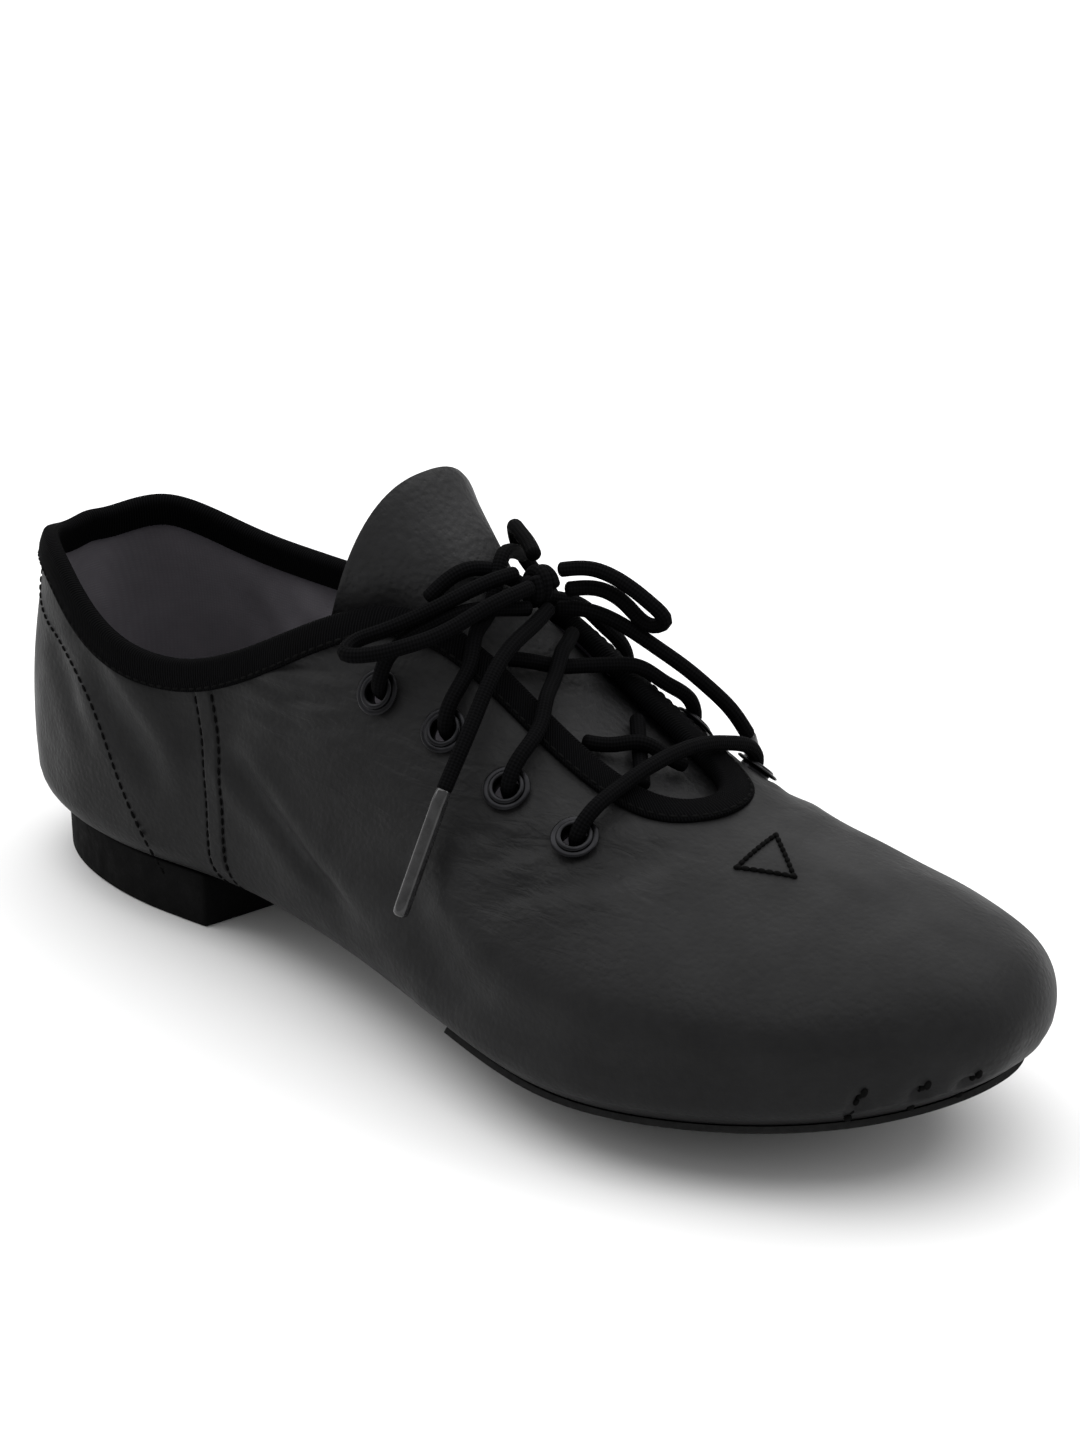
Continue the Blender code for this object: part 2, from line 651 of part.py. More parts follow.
def eyelet_place(ribs, row, side):
    """Where an eyelet sits: set back from the rim, measured over the upper at one x."""
    x = EYELET_FIRST + row * EYELET_PITCH
    cut = section(x)
    lean = np.linspace(0, math.pi / 2, 400)
    width = float(cut["outer"] if side < 0 else cut["inner"])
    across, high = width * np.sin(lean), float(cut["above"]) * np.cos(lean)
    length = np.concatenate([[0], np.cumsum(np.hypot(np.diff(across), np.diff(high)))])
    start = np.interp(abs(ribs.rim_y(x, side) - float(cut["middle"])), across, length)
    return x, float(cut["middle"]) + side * float(np.interp(start + EYELET_SETBACK, length, across))


def turned(name, profile, centre, axis, segments, look):
    """Ring turned from a closed profile of radius and height about an axis."""
    quarter = axis.to_track_quat("Z", "Y").to_matrix()
    points, faces = [], []
    for s in range(segments):
        turn = 2 * math.pi * s / segments
        for radius, height in profile:
            local = Vector((radius * math.cos(turn), radius * math.sin(turn), height))
            points.append(centre + quarter @ local)
    count = len(profile)
    for s in range(segments):
        t = (s + 1) % segments
        for k in range(count):
            m = (k + 1) % count
            faces.append([s * count + k, t * count + k, t * count + m, s * count + m])
    mesh = bpy.data.meshes.new(name)
    mesh.from_pydata([tuple(p) for p in points], [], faces)
    return finish(name, mesh, look)


def build_eyelets(ribs, upper):
    """Rolled rings through punched holes, and the punch that cuts the holes."""
    bow = EYELET_BOW
    seat = CLEARANCE + bow
    below = -WALL - CLEARANCE - bow
    profile = (
        (EYELET_BORE, seat + EYELET_RIM * 0.8),
        ((EYELET_BORE + EYELET_RADIUS) / 2, seat + EYELET_RIM),
        (EYELET_RADIUS, seat + EYELET_RIM * 0.4),
        (EYELET_RADIUS, seat),
        (EYELET_BARREL, seat),
        (EYELET_BARREL, below),
        (EYELET_BARREL + EYELET_RIM, below),
        (EYELET_BARREL + EYELET_RIM, below - EYELET_RIM),
        (EYELET_BORE, below - EYELET_RIM),
    )
    punch = bmesh.new()
    for row in range(EYELET_ROWS):
        for side, word in ((-1, "outer"), (1, "inner")):
            x, y = eyelet_place(ribs, row, side)
            centre, axis = lifted(top_height, x, y, 0.0)
            turned("eyelet_%s_%d" % (word, row + 1), profile, centre, axis, EYELET_SIDES, "gunmetal")
            matrix = axis.to_track_quat("Z", "Y").to_matrix().to_4x4()
            matrix.translation = centre
            radius = EYELET_BARREL + CLEARANCE
            bmesh.ops.create_cone(punch, cap_ends=True, segments=EYELET_SIDES, radius1=radius, radius2=radius,
                                  depth=8 * WALL, matrix=matrix)
    mesh = bpy.data.meshes.new("eyelet_punch")
    punch.to_mesh(mesh)
    punch.free()
    cutter = bpy.data.objects.new("eyelet_punch", mesh)
    bpy.context.scene.collection.objects.link(cutter)
    cutter.hide_render = True
    cutter.display_type = "WIRE"
    cut = upper.modifiers.new("eyelet holes", "BOOLEAN")
    cut.operation = "DIFFERENCE"
    cut.solver = "EXACT"
    cut.object = cutter


def smooth_route(points, spacing):
    """Even points along a smooth curve through a route's own points."""
    points = np.array([tuple(p) for p in points], float)
    reach_to = np.concatenate([[0], np.cumsum(np.linalg.norm(np.diff(points, axis=0), axis=1))])
    count = max(2, int(round(reach_to[-1] / spacing)) + 1)
    at = np.linspace(0, reach_to[-1], count)
    return [Vector(p) for p in np.column_stack([natural_spline(reach_to, points[:, k], at) for k in range(3)])]


def laid(route):
    """A route's points, stretched to the shoe's present sizes."""
    sizes = (LENGTH, BALL_WIDTH, INSTEP_HEIGHT)
    return [Vector([c * now / then for c, now, then in zip(point, sizes, LAID_FOR)]) for point in route]


def cord(name, points, look="cord", diameter=LACE_DIAMETER):
    """Round cord along a route, its ends closed."""
    curve = bpy.data.curves.new(name, "CURVE")
    curve.dimensions = "3D"
    curve.bevel_depth = diameter / 2
    curve.bevel_resolution = 2
    curve.use_fill_caps = True
    line = curve.splines.new("POLY")
    line.points.add(len(points) - 1)
    for place, point in zip(line.points, points):
        place.co = (*point, 1.0)
    curve.materials.append(MATERIALS[look])
    made = bpy.data.objects.new(name, curve)
    bpy.context.scene.collection.objects.link(made)
    return made


def as_mesh(made):
    """The same object with its curve made a mesh, so that it can be joined to another."""
    mesh = bpy.data.meshes.new_from_object(made)
    look = made.data.materials[0].name
    name = made.name
    bpy.data.objects.remove(made, do_unlink=True)
    mesh.materials.clear()
    return finish(name, mesh, look)


def lace_over(ribs, row, side):
    """Start of a strand: over the eyelet, and over the binding beside it."""
    half = LACE_DIAMETER / 2
    x, y = eyelet_place(ribs, row, side)
    ring = CLEARANCE + EYELET_BOW + EYELET_RIM
    binding = 2 * CLEARANCE + BINDING_THICKNESS
    start, _ = lifted(top_height, x, y, ring + 2 * CLEARANCE + half)
    return start, binding + half


def on_tongue(ribs, x, y, lift):
    """Point lifted off the tongue's face over a place in plan."""
    low, high = x - 0.004, x + 0.02
    for _ in range(24):
        row = (low + high) / 2
        point = tongue_point(ribs, row, y - tongue_row(ribs, row)[0].y, lift + LACE_DIAMETER / 2)
        low, high = (row, high) if point.x < x else (low, row)
    return point


def under_edge(ribs, x, side, lift):
    """Where a strand stops beside the throat's edge, low on the tongue."""
    room = WALL + 6 * CLEARANCE + BINDING_THICKNESS + LACE_DIAMETER / 2
    return on_tongue(ribs, x, ribs.rim_y(x, side) - side * room, lift)


def resting(ribs, start, end, shares, lift):
    """Points of a strand drawn from start to end, over the tongue where that stands higher."""
    points = []
    for share in shares:
        point = start.lerp(end, share)
        point.z = max(point.z, on_tongue(ribs, point.x, point.y, lift).z)
        points.append(point)
    return points


def over_edge(ribs, row, side, ahead=0.0):
    """Start of a strand over its eyelet, and its two points over the bound edge."""
    start, height = lace_over(ribs, row, side)
    points = [start]
    for share, out in ((0.45, 0.75), (1.0, -0.1)):
        place = EYELET_FIRST + (row - ahead * share) * EYELET_PITCH
        y = ribs.rim_y(place, side) + side * out * BINDING_WIDTH
        points.append(lifted(top_height, place, y, height + CLEARANCE)[0])
    return points


def crossing_strand(ribs, row, side):
    """From an eyelet over the near edge and the tongue to under the far edge, one eyelet up."""
    points = over_edge(ribs, row, side, 0.3)
    lift = 5 * CLEARANCE
    end = under_edge(ribs, EYELET_FIRST + (row - 1) * EYELET_PITCH, -side, lift)
    points += resting(ribs, points[-1], end, (0.3, 0.55, 0.8), lift) + [end]
    return smooth_route(points, 2.5 * LACE_DIAMETER)


def inside_strand(ribs, row, side):
    """From under one edge across the tongue to under the other, one eyelet up."""
    x = EYELET_FIRST + row * EYELET_PITCH
    lift = 2 * CLEARANCE
    start = under_edge(ribs, x - 0.1 * EYELET_PITCH, side, lift)
    end = under_edge(ribs, x - 0.9 * EYELET_PITCH, -side, lift)
    return smooth_route([start, *resting(ribs, start, end, (0.25, 0.5, 0.75), lift), end], 2.5 * LACE_DIAMETER)


def join_pair(name, first, second):
    """Two crossing strands as one solid."""
    one = as_mesh(cord(name, first))
    other = as_mesh(cord(name + "_partner", second))
    other.hide_render = True
    other.display_type = "WIRE"
    join = one.modifiers.new("joined where they cross", "BOOLEAN")
    join.operation = "UNION"
    join.solver = "EXACT"
    join.object = other


def build_lacing(ribs):
    """Bar at the lowest eyelets, a crossing inside, two crossings over the edges."""
    low = EYELET_ROWS - 1
    bar = over_edge(ribs, low, -1) + over_edge(ribs, low, 1)[::-1]
    cord("lace_bar", smooth_route(bar, 2.5 * LACE_DIAMETER))
    join_pair("lace_crossing_1", inside_strand(ribs, low, -1), inside_strand(ribs, low, 1))
    for row in range(low - 1, 0, -1):
        name = "lace_crossing_%d" % (low - row + 1)
        join_pair(name, crossing_strand(ribs, row, -1), crossing_strand(ribs, row, 1))
    for word, side, route in (("outer", -1, OUTER_TIE), ("inner", 1, INNER_TIE)):
        start, _ = lace_over(ribs, 0, side)
        cord("lace_tie_" + word, smooth_route([start, *laid(route)], 2.5 * LACE_DIAMETER))


def build_bow():
    """Knot, two loops and two ends of the bow, each end with its tip."""
    knot = bmesh.new()
    bmesh.ops.create_icosphere(knot, subdivisions=2, radius=1.0)
    for corner in knot.verts:
        corner.co = laid([KNOT_PLACE])[0] + Vector([c * r for c, r in zip(corner.co, KNOT_RADII)])
    mesh = bpy.data.meshes.new("lace_knot")
    knot.to_mesh(mesh)
    knot.free()
    finish("lace_knot", mesh, "cord")
    for name, route in BOW_ROUTES.items():
        cord(name, smooth_route(laid(route), 2.5 * LACE_DIAMETER))
    for name, route in TIP_ROUTES.items():
        cord(name, laid(route), "clear_tip", LACE_DIAMETER + TIP_FILM)


def stand_on_origin(upper):
    """Bring every piece along so that the upper's box is centred over the origin."""
    corners = np.array([corner.co for corner in upper.data.vertices])
    middle = (corners.min(axis=0) + corners.max(axis=0)) / 2
    shift = Matrix.Translation((-middle[0], -middle[1], 0.0))
    for made in bpy.data.objects:
        made.data.transform(shift)


def main():
    for old in list(bpy.data.objects):
        bpy.data.objects.remove(old, do_unlink=True)
    looks = {"leather": LEATHER, "lining": LINING, "ribbon": RIBBON, "rubber": RUBBER, "suede": SUEDE,
             "gunmetal": GUNMETAL, "cord": CORD, "clear_tip": CLEAR_TIP}
    for name, look in looks.items():
        MATERIALS[name] = material(name, look)
    ribs = Ribs()
    upper = build_upper(ribs)
    build_binding(ribs)
    build_insole(ribs)
    build_forefoot_sole(ribs)
    build_heel(ribs)
    build_tongue(ribs)
    build_eyelets(ribs, upper)
    build_lacing(ribs)
    build_bow()
    stand_on_origin(upper)


MATERIALS = {}
main()
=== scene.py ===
"""Finished looks of a jazz shoe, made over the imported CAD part.

Metres. +X points to the toe, +Y to the inner side of the foot and +Z up. Routes and tables are written from
the back of the heel, as the part's are, and SHIFT brings each finished piece over the part.
"""
import functools
import math

import bmesh
import bpy
import numpy as np
from bpy.props import FloatProperty, FloatVectorProperty, IntProperty, PointerProperty
from mathutils import Matrix, Vector


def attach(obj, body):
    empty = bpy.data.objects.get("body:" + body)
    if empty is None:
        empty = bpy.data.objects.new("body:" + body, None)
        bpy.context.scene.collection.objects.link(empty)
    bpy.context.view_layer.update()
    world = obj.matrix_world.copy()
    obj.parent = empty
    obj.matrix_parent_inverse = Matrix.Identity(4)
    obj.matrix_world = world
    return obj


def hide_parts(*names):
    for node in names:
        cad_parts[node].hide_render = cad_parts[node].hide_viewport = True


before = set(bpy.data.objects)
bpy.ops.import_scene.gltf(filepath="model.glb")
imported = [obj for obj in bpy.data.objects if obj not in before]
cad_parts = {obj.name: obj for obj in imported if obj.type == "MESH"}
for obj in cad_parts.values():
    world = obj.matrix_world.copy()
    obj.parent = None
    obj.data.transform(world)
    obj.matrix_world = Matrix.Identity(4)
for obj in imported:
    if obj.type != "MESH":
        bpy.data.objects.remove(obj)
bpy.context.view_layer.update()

bl_info = {
    "name": "Jazz Shoe",
    "version": (1, 0, 0),
    "blender": (4, 5, 0),
    "location": "3D View > Sidebar > Jazz Shoe",
    "description": "Builds a laced split-sole jazz shoe, one piece at a time",
    "category": "Add Mesh",
}

# Sizes shared with the part
LENGTH = 0.245
BALL_WIDTH = 0.088
INSTEP_HEIGHT = 0.082
HEEL_HEIGHT = 0.0095
SOLE_THICKNESS = 0.0012
TOE_SPRING = 0.0145
WALL = 0.0015
CLEARANCE = 0.0003
BINDING_WIDTH = 0.005
BINDING_THICKNESS = 0.0007
SEAM_PLACE = 0.0675
SEAM_WIDTH = 0.0042
SEAM_RISE = 0.0005
HEEL_INSET = 0.0065
HEEL_TAPER = 0.0006
SOLE_INSET = 0.002
SOLE_PRESS = 0.001
SOLE_TUCK = 0.0042
LASTING_MARGIN = 0.009
INSOLE_THICKNESS = 0.0018
EYELET_ROWS = 4
EYELET_FIRST = 0.1145
EYELET_PITCH = 0.0165
EYELET_SETBACK = 0.0163
EYELET_RADIUS = 0.0046
EYELET_BARREL = 0.003
EYELET_RIM = 0.0007
EYELET_BOW = 1.6 * EYELET_RADIUS**2 / BALL_WIDTH
TONGUE_TOP = 0.102
TONGUE_BASE = 0.19
TONGUE_HALF_WIDTH = 5 / 22 * BALL_WIDTH
TONGUE_THICKNESS = 0.0016
TONGUE_RISE = 0.0117
TONGUE_ARCH = 0.0195
TONGUE_DEPTH = WALL + 0.003 + 2 * CLEARANCE
LACE_DIAMETER = 0.003
TIP_FILM = 0.0002
HEEL_END_RIB = 0.33
SOLE_START_RIB = 0.53
SHIFT = Vector((-LENGTH / 2, 0.0, 0.0))

# Sections of the last, with the part's columns: along is a share of LENGTH, the others as the part tells
LAST_COLUMNS = ("along", "side", "outer", "inner", "seat", "toe", "wide", "full", "above", "square")
LAST = (
    (0.000, 0.000, 0.000, 0.000, 1.08, 0.00, 0.188, 0.00, 0.000, 3.4),
    (0.012, 0.000, 0.148, 0.148, 1.06, 0.00, 0.191, 0.80, 0.463, 3.4),
    (0.040, 0.000, 0.244, 0.244, 1.03, 0.00, 0.195, 0.95, 0.805, 3.4),
    (0.100, 0.000, 0.330, 0.318, 1.00, 0.00, 0.198, 1.00, 0.988, 3.4),
    (0.200, 0.000, 0.364, 0.335, 0.96, 0.00, 0.202, 1.00, 1.024, 3.3),
    (0.300, 0.006, 0.347, 0.330, 0.92, 0.00, 0.218, 1.00, 0.939, 3.0),
    (0.400, 0.017, 0.381, 0.330, 0.83, 0.00, 0.215, 1.00, 0.817, 2.8),
    (0.500, 0.034, 0.443, 0.364, 0.57, 0.00, 0.217, 1.00, 0.707, 2.6),
    (0.600, 0.045, 0.516, 0.415, 0.18, 0.00, 0.231, 1.00, 0.554, 2.3),
    (0.700, 0.051, 0.560, 0.438, 0.00, 0.00, 0.231, 1.00, 0.446, 2.2),
    (0.800, 0.066, 0.530, 0.445, 0.00, 0.20, 0.208, 1.00, 0.363, 2.2),
    (0.900, 0.085, 0.408, 0.389, 0.00, 0.60, 0.174, 1.00, 0.268, 2.2),
    (0.970, 0.099, 0.220, 0.240, 0.00, 1.09, 0.127, 0.87, 0.168, 2.3),
    (1.000, 0.099, 0.000, 0.000, 0.00, 1.25, 0.121, 0.00, 0.000, 2.3),
)
RIB_COLUMNS = ("rib", "rim", "outer", "inner", "edge", "middle")
RIBS = (
    (0.000, 0.014, 0.0, 0.0, 0.000, 0.100),
    (0.100, 0.029, 43.0, 44.0, 0.100, 0.105),
    (0.200, 0.094, 58.5, 62.0, 0.205, 0.125),
    (0.300, 0.196, 67.0, 64.5, 0.310, 0.235),
    (0.355, 0.2755, 65.0, 62.5, 0.372, 0.327),
    (0.420, 0.367, 49.5, 53.0, 0.440, 0.430),
    (0.480, 0.437, 31.0, 38.0, 0.500, 0.510),
    (0.540, 0.494, 21.5, 27.5, 0.560, 0.595),
    (0.620, 0.571, 17.0, 21.5, 0.640, 0.700),
    (0.720, 0.649, 14.5, 17.5, 0.735, 0.790),
    (0.820, 0.690, 11.0, 12.5, 0.825, 0.840),
    (0.910, 0.708, 6.0, 7.0, 0.912, 0.860),
    (1.000, 0.714, 0.0, 0.0, 1.000, 0.865),
)
TONGUE_COLUMNS = ("way", "rise", "depth", "width", "arch")
TONGUE = (
    (0.000, 1.00, 0.00, 1.00, 1.00),
    (0.045, 0.72, 0.00, 0.90, 0.97),
    (0.100, 0.50, 0.00, 0.76, 0.92),
    (0.160, 0.22, 0.00, 0.66, 0.88),
    (0.230, 0.00, 0.30, 0.64, 0.84),
    (0.300, 0.00, 0.80, 0.80, 0.72),
    (0.380, 0.00, 1.10, 0.94, 0.58),
    (0.550, 0.00, 1.04, 0.98, 0.46),
    (0.800, 0.00, 0.76, 0.90, 0.36),
    (0.920, 0.00, 0.50, 0.78, 0.30),
    (1.000, 0.00, 0.43, 0.65, 0.25),
)

# Knot and free routes of the lace, in metres, where the part's cord nodes lie
KNOT_PLACE = (0.1278, 0.0058, 0.0852)
OUTER_TIE = (
    (0.1160, -0.0232, 0.0752), (0.1176, -0.0202, 0.0785), (0.1206, -0.0156, 0.0812),
    (0.1246, -0.0098, 0.0836), (0.1278, -0.0044, 0.0834), (0.1300, 0.0006, 0.0826),
)
INNER_TIE = (
    (0.1122, 0.0242, 0.0760), (0.1094, 0.0206, 0.0830), (0.1108, 0.0172, 0.0893),
    (0.1156, 0.0136, 0.0906), (0.1212, 0.0104, 0.0904), (0.1244, 0.0082, 0.0900),
)
LOOP_ROUTES = {
    "lace_loop_outer": (
        (0.1262, 0.0008, 0.0885), (0.1254, -0.0032, 0.0884), (0.1240, -0.0080, 0.0874),
        (0.1212, -0.0138, 0.0850), (0.1180, -0.0190, 0.0826), (0.1140, -0.0240, 0.0802),
        (0.1112, -0.0276, 0.0784), (0.1122, -0.0306, 0.0776), (0.1166, -0.0288, 0.0780),
        (0.1208, -0.0250, 0.0794), (0.1246, -0.0200, 0.0812), (0.1270, -0.0150, 0.0832),
        (0.1290, -0.0090, 0.0856), (0.1300, -0.0036, 0.0866), (0.1302, 0.0008, 0.0868),
    ),
    "lace_loop_inner": (
        (0.1296, 0.0106, 0.0876), (0.1340, 0.0140, 0.0880), (0.1400, 0.0170, 0.0858),
        (0.1452, 0.0192, 0.0822), (0.1472, 0.0206, 0.0790), (0.1450, 0.0201, 0.0776),
        (0.1399, 0.0178, 0.0811), (0.1344, 0.0150, 0.0838), (0.1310, 0.0112, 0.0838),
    ),
}
END_ROUTES = {
    "lace_end_outer": (
        (0.1316, 0.0046, 0.0817), (0.1332, -0.0006, 0.0808), (0.1346, -0.0064, 0.0800),
        (0.1358, -0.0124, 0.0780), (0.1372, -0.0180, 0.0742), (0.1386, -0.0234, 0.0690),
        (0.1394, -0.0278, 0.0642), (0.1400, -0.0322, 0.0590),
    ),
    "lace_end_inner": (
        (0.1300, 0.0098, 0.0800), (0.1336, 0.0128, 0.0798), (0.1376, 0.0156, 0.0784),
        (0.1418, 0.0184, 0.0757), (0.1458, 0.0212, 0.0725), (0.1492, 0.0244, 0.0690),
        (0.1520, 0.0284, 0.0644), (0.1542, 0.0328, 0.0590), (0.1554, 0.0366, 0.0530),
    ),
}
TIP_ROUTES = {
    "lace_tip_outer": ((0.1400, -0.0325, 0.0586), (0.1392, -0.0430, 0.0370)),
    "lace_tip_inner": ((0.1555, 0.0370, 0.0523), (0.1560, 0.0434, 0.0290)),
}

# Creases in the leather of the outer side. Each has a half width, a depth, which is below
# zero for a raised fold, and the points that it follows. The inner side has them mirrored, a little softer.
CREASES = {
    "arch fold": (0.0030, 0.0011, ((0.0736, -0.029, 0.0469), (0.0877, -0.0303, 0.0388),
                                   (0.1042, -0.0328, 0.0301), (0.1208, -0.0357, 0.0251))),
    "arch ridge": (0.0060, -0.0010, ((0.0780, -0.029, 0.052), (0.0930, -0.031, 0.043),
                                     (0.1100, -0.034, 0.035), (0.1280, -0.037, 0.030))),
    "quarter fold": (0.0045, 0.0008, ((0.036, -0.030, 0.055), (0.045, -0.031, 0.047),
                                      (0.054, -0.031, 0.040), (0.062, -0.031, 0.031))),
    "quarter ridge": (0.0045, -0.0007, ((0.041, -0.030, 0.058), (0.050, -0.031, 0.051),
                                        (0.059, -0.030, 0.043), (0.066, -0.030, 0.034))),
    "heel fold": (0.0035, 0.0005, ((0.020, -0.025, 0.056), (0.030, -0.030, 0.046), (0.040, -0.031, 0.034))),
    "waist fold": (0.0060, 0.0007, ((0.071, -0.028, 0.056), (0.084, -0.029, 0.049),
                                    (0.095, -0.031, 0.044), (0.110, -0.033, 0.037))),
    "collar crease 1": (0.0013, 0.00050, ((0.082, -0.025, 0.0655), (0.095, -0.025, 0.068),
                                          (0.105, -0.024, 0.069))),
    "collar crease 2": (0.0014, 0.00060, ((0.080, -0.027, 0.0620), (0.093, -0.027, 0.061),
                                          (0.107, -0.026, 0.064))),
    "collar crease 3": (0.0016, 0.00045, ((0.080, -0.028, 0.0570), (0.097, -0.028, 0.057),
                                          (0.110, -0.027, 0.061))),
    "collar crease 4": (0.0012, 0.00035, ((0.090, -0.029, 0.0530), (0.103, -0.029, 0.055))),
    "under eyelets 1": (0.0017, 0.00050, ((0.150, -0.033, 0.0480), (0.156, -0.028, 0.0515),
                                          (0.166, -0.0235, 0.0520), (0.176, -0.014, 0.0530))),
    "under eyelets 2": (0.0020, 0.00048, ((0.156, -0.037, 0.0430), (0.163, -0.032, 0.0465),
                                          (0.171, -0.025, 0.0490), (0.179, -0.015, 0.0520))),
    "under eyelets 3": (0.0012, 0.00045, ((0.160, -0.031, 0.0480), (0.167, -0.024, 0.0510))),
    "under eyelets 4": (0.0012, 0.00040, ((0.143, -0.033, 0.0500), (0.150, -0.030, 0.0530))),
    "tread fold": (0.0060, 0.0009, ((0.128, -0.036, 0.0420), (0.134, -0.037, 0.0380),
                                    (0.142, -0.039, 0.0330), (0.152, -0.042, 0.0290))),
    "tread ridge": (0.0060, -0.0008, ((0.142, -0.036, 0.0420), (0.152, -0.039, 0.0370),
                                      (0.162, -0.043, 0.0320))),
    "vamp fold": (0.0030, 0.00040, ((0.169, -0.027, 0.0490), (0.175, -0.019, 0.0510),
                                    (0.182, -0.010, 0.0530))),
    "turned edge": (0.0052, 0.0011, ((0.128, -0.039, 0.0315), (0.145, -0.044, 0.0270),
                                     (0.165, -0.046, 0.0250), (0.190, -0.044, 0.0245),
                                     (0.210, -0.038, 0.0245), (0.228, -0.024, 0.0250),
                                     (0.2385, -0.008, 0.0260))),
    "toe pleat 1": (0.0013, 0.0012, ((0.2285, -0.0190, 0.0165), (0.2312, -0.0185, 0.0240))),
    "toe pleat 2": (0.0013, 0.0012, ((0.2350, -0.0090, 0.0175), (0.2378, -0.0090, 0.0250))),
    "toe pleat 3": (0.0013, 0.0011, ((0.2390, 0.0000, 0.0185), (0.2418, 0.0000, 0.0258))),
}

# Stitched seams of the outer side, as points that lie on or near the leather
COUNTER_SEAM = ((0.0085, -0.0185, 0.0615), (0.0140, -0.0220, 0.0577), (0.0307, -0.0291, 0.0512),
                (0.0406, -0.0313, 0.0429), (0.0475, -0.0320, 0.0311), (0.0537, -0.0312, 0.0208),
                (0.0590, -0.0290, 0.0140))
TACK_CORNERS = ((0.1886, 0.0059), (0.1904, -0.0073), (0.1991, -0.0012))

# How finely pieces are built
COARSE_RIBS = 120
BINDING_RIBS = 220
LINE_POINTS = 61
SEAM_STEP = 0.0003
ROUTE_STEP = 0.001
MERGE_DISTANCE = 0.000004

# Surface of the upper, binding, heel and tongue, in metres. The rows under the binding are shares of its
# width, and each has its own share of the seam's relief and of the leather's swell.
RIM_ROWS = (0, 0.25, 0.5, 0.75, 1.0)
RIM_SEAM = (0, 0, 0.3, 0.7, 1)
RIM_SWELL = (0, 0, 0.1, 0.4, 0.8)
TURNED_ROWS = (0.0003, 0.0008, 0.0014, 0.0021, 0.003, 0.0045)
TURNED_SEAM_ROWS = 2
TURNED_SWELL_ROWS = 3
PLATEAU_OVERLAP = 0.0004
PLATEAU_RISE = 0.00035
PLATEAU_EDGE = 0.0005
GROOVE_DEPTH = 0.00045
GROOVE_WIDTH = 0.00035
LINING_SEAM_DEPTH = 0.0004
LINING_SEAM_WIDTH = 0.0005
LINING_SEAM_OFFSET = 0.002
SWELL = 0.00022
INNER_CREASES = 0.8
BINDING_PUFF = 0.0003
HEEL_ROUNDING = 0.0007
TONGUE_DROOP = (2.5, 0.4)
TONGUE_HANG = Vector((-0.24, 0.0, -0.97))
TONGUE_FREE = 0.3
TONGUE_HANG_MORE = 0.7
TONGUE_RIPPLE = 0.00025

# Thread, in metres, and how long a stitch is as a share of its pitch
COUNTER_STEP = 0.0012
RIM_SEAM_INSET = 0.0007
SEAM_SHARE = 0.84
TACK_PITCH = 0.0014
TACK_SHARE = 1.25
TACK_THREAD = 0.0010
GATHER_PITCH = 0.0016
GATHER_SHARE = 1.35
GATHER_THREAD = 0.0013

# Strands of the lace
WEAVE_REACH = 0.0052
INSIDE_DROP = 0.0003
CROSSING_DROP = 0.0009
KNOT_LEAN = (0.30, 1.0, -0.12)
KNOT_RADIUS = 0.0024
KNOT_LENGTH = 0.0034
KNOT_CORE = 0.0021

# Stage and camera
SUN_POWER = 3.9
SUN_ANGLE = math.radians(95)
SUN_FROM = Vector((-0.22, 0.22, 1.0))
SOFTBOXES = {"left softbox": (-0.9, -0.5, 0.7), "right softbox": (0.9, 0.6, 0.7)}
SOFTBOX_SIZE = (0.4, 0.8)
SOFTBOX_POWER = 2.4
SOFTBOX_AIM = Vector((0.0, 0.0, 0.03))
ROOM_LIGHT = 0.66

CAMERA_AZIMUTH = math.radians(43.5)
CAMERA_ELEVATION = math.radians(25.8)
CAMERA_ROLL = math.radians(-0.4)
CAMERA_DISTANCE = 0.820
CAMERA_TARGET = Vector((-0.0005, 0.0, 0.030))
CAMERA_LENS = 104.3
CAMERA_SHIFT = (0.0326, 0.0875)


# Shape of the last and its ribs
class Smooth:
    """Smooth curve through a table's values, straight at both ends."""

    def __init__(self, knots, values):
        self.knots = np.asarray(knots, float)
        self.values = np.asarray(values, float)
        self.step = np.diff(self.knots)
        count = len(self.knots)
        system = np.eye(count)
        right = np.zeros((count,) + self.values.shape[1:])
        for i in range(1, count - 1):
            system[i, i - 1] = self.step[i - 1]
            system[i, i] = 2 * (self.step[i - 1] + self.step[i])
            system[i, i + 1] = self.step[i]
            rise = (self.values[i + 1] - self.values[i]) / self.step[i]
            right[i] = 6 * (rise - (self.values[i] - self.values[i - 1]) / self.step[i - 1])
        self.bend = np.linalg.solve(system, right)

    def __call__(self, at):
        at = np.clip(np.asarray(at, float), self.knots[0], self.knots[-1])
        k = np.clip(np.searchsorted(self.knots, at) - 1, 0, len(self.knots) - 2)
        step, low, high = self.step[k], self.values[k], self.values[k + 1]
        after, before = at - self.knots[k], self.knots[k + 1] - at
        cubic = (self.bend[k] * before**3 + self.bend[k + 1] * after**3) / (6 * step)
        low = (low / step - self.bend[k] * step / 6) * before
        return cubic + low + (high / step - self.bend[k + 1] * step / 6) * after


SECTION_CURVES = {
    name: Smooth([math.acos(1 - 2 * row[0]) for row in LAST], [row[k] for row in LAST])
    for k, name in enumerate(LAST_COLUMNS) if k
}
TONGUE_CURVES = {
    name: Smooth([row[0] for row in TONGUE], [row[k] for row in TONGUE])
    for k, name in enumerate(TONGUE_COLUMNS) if k
}


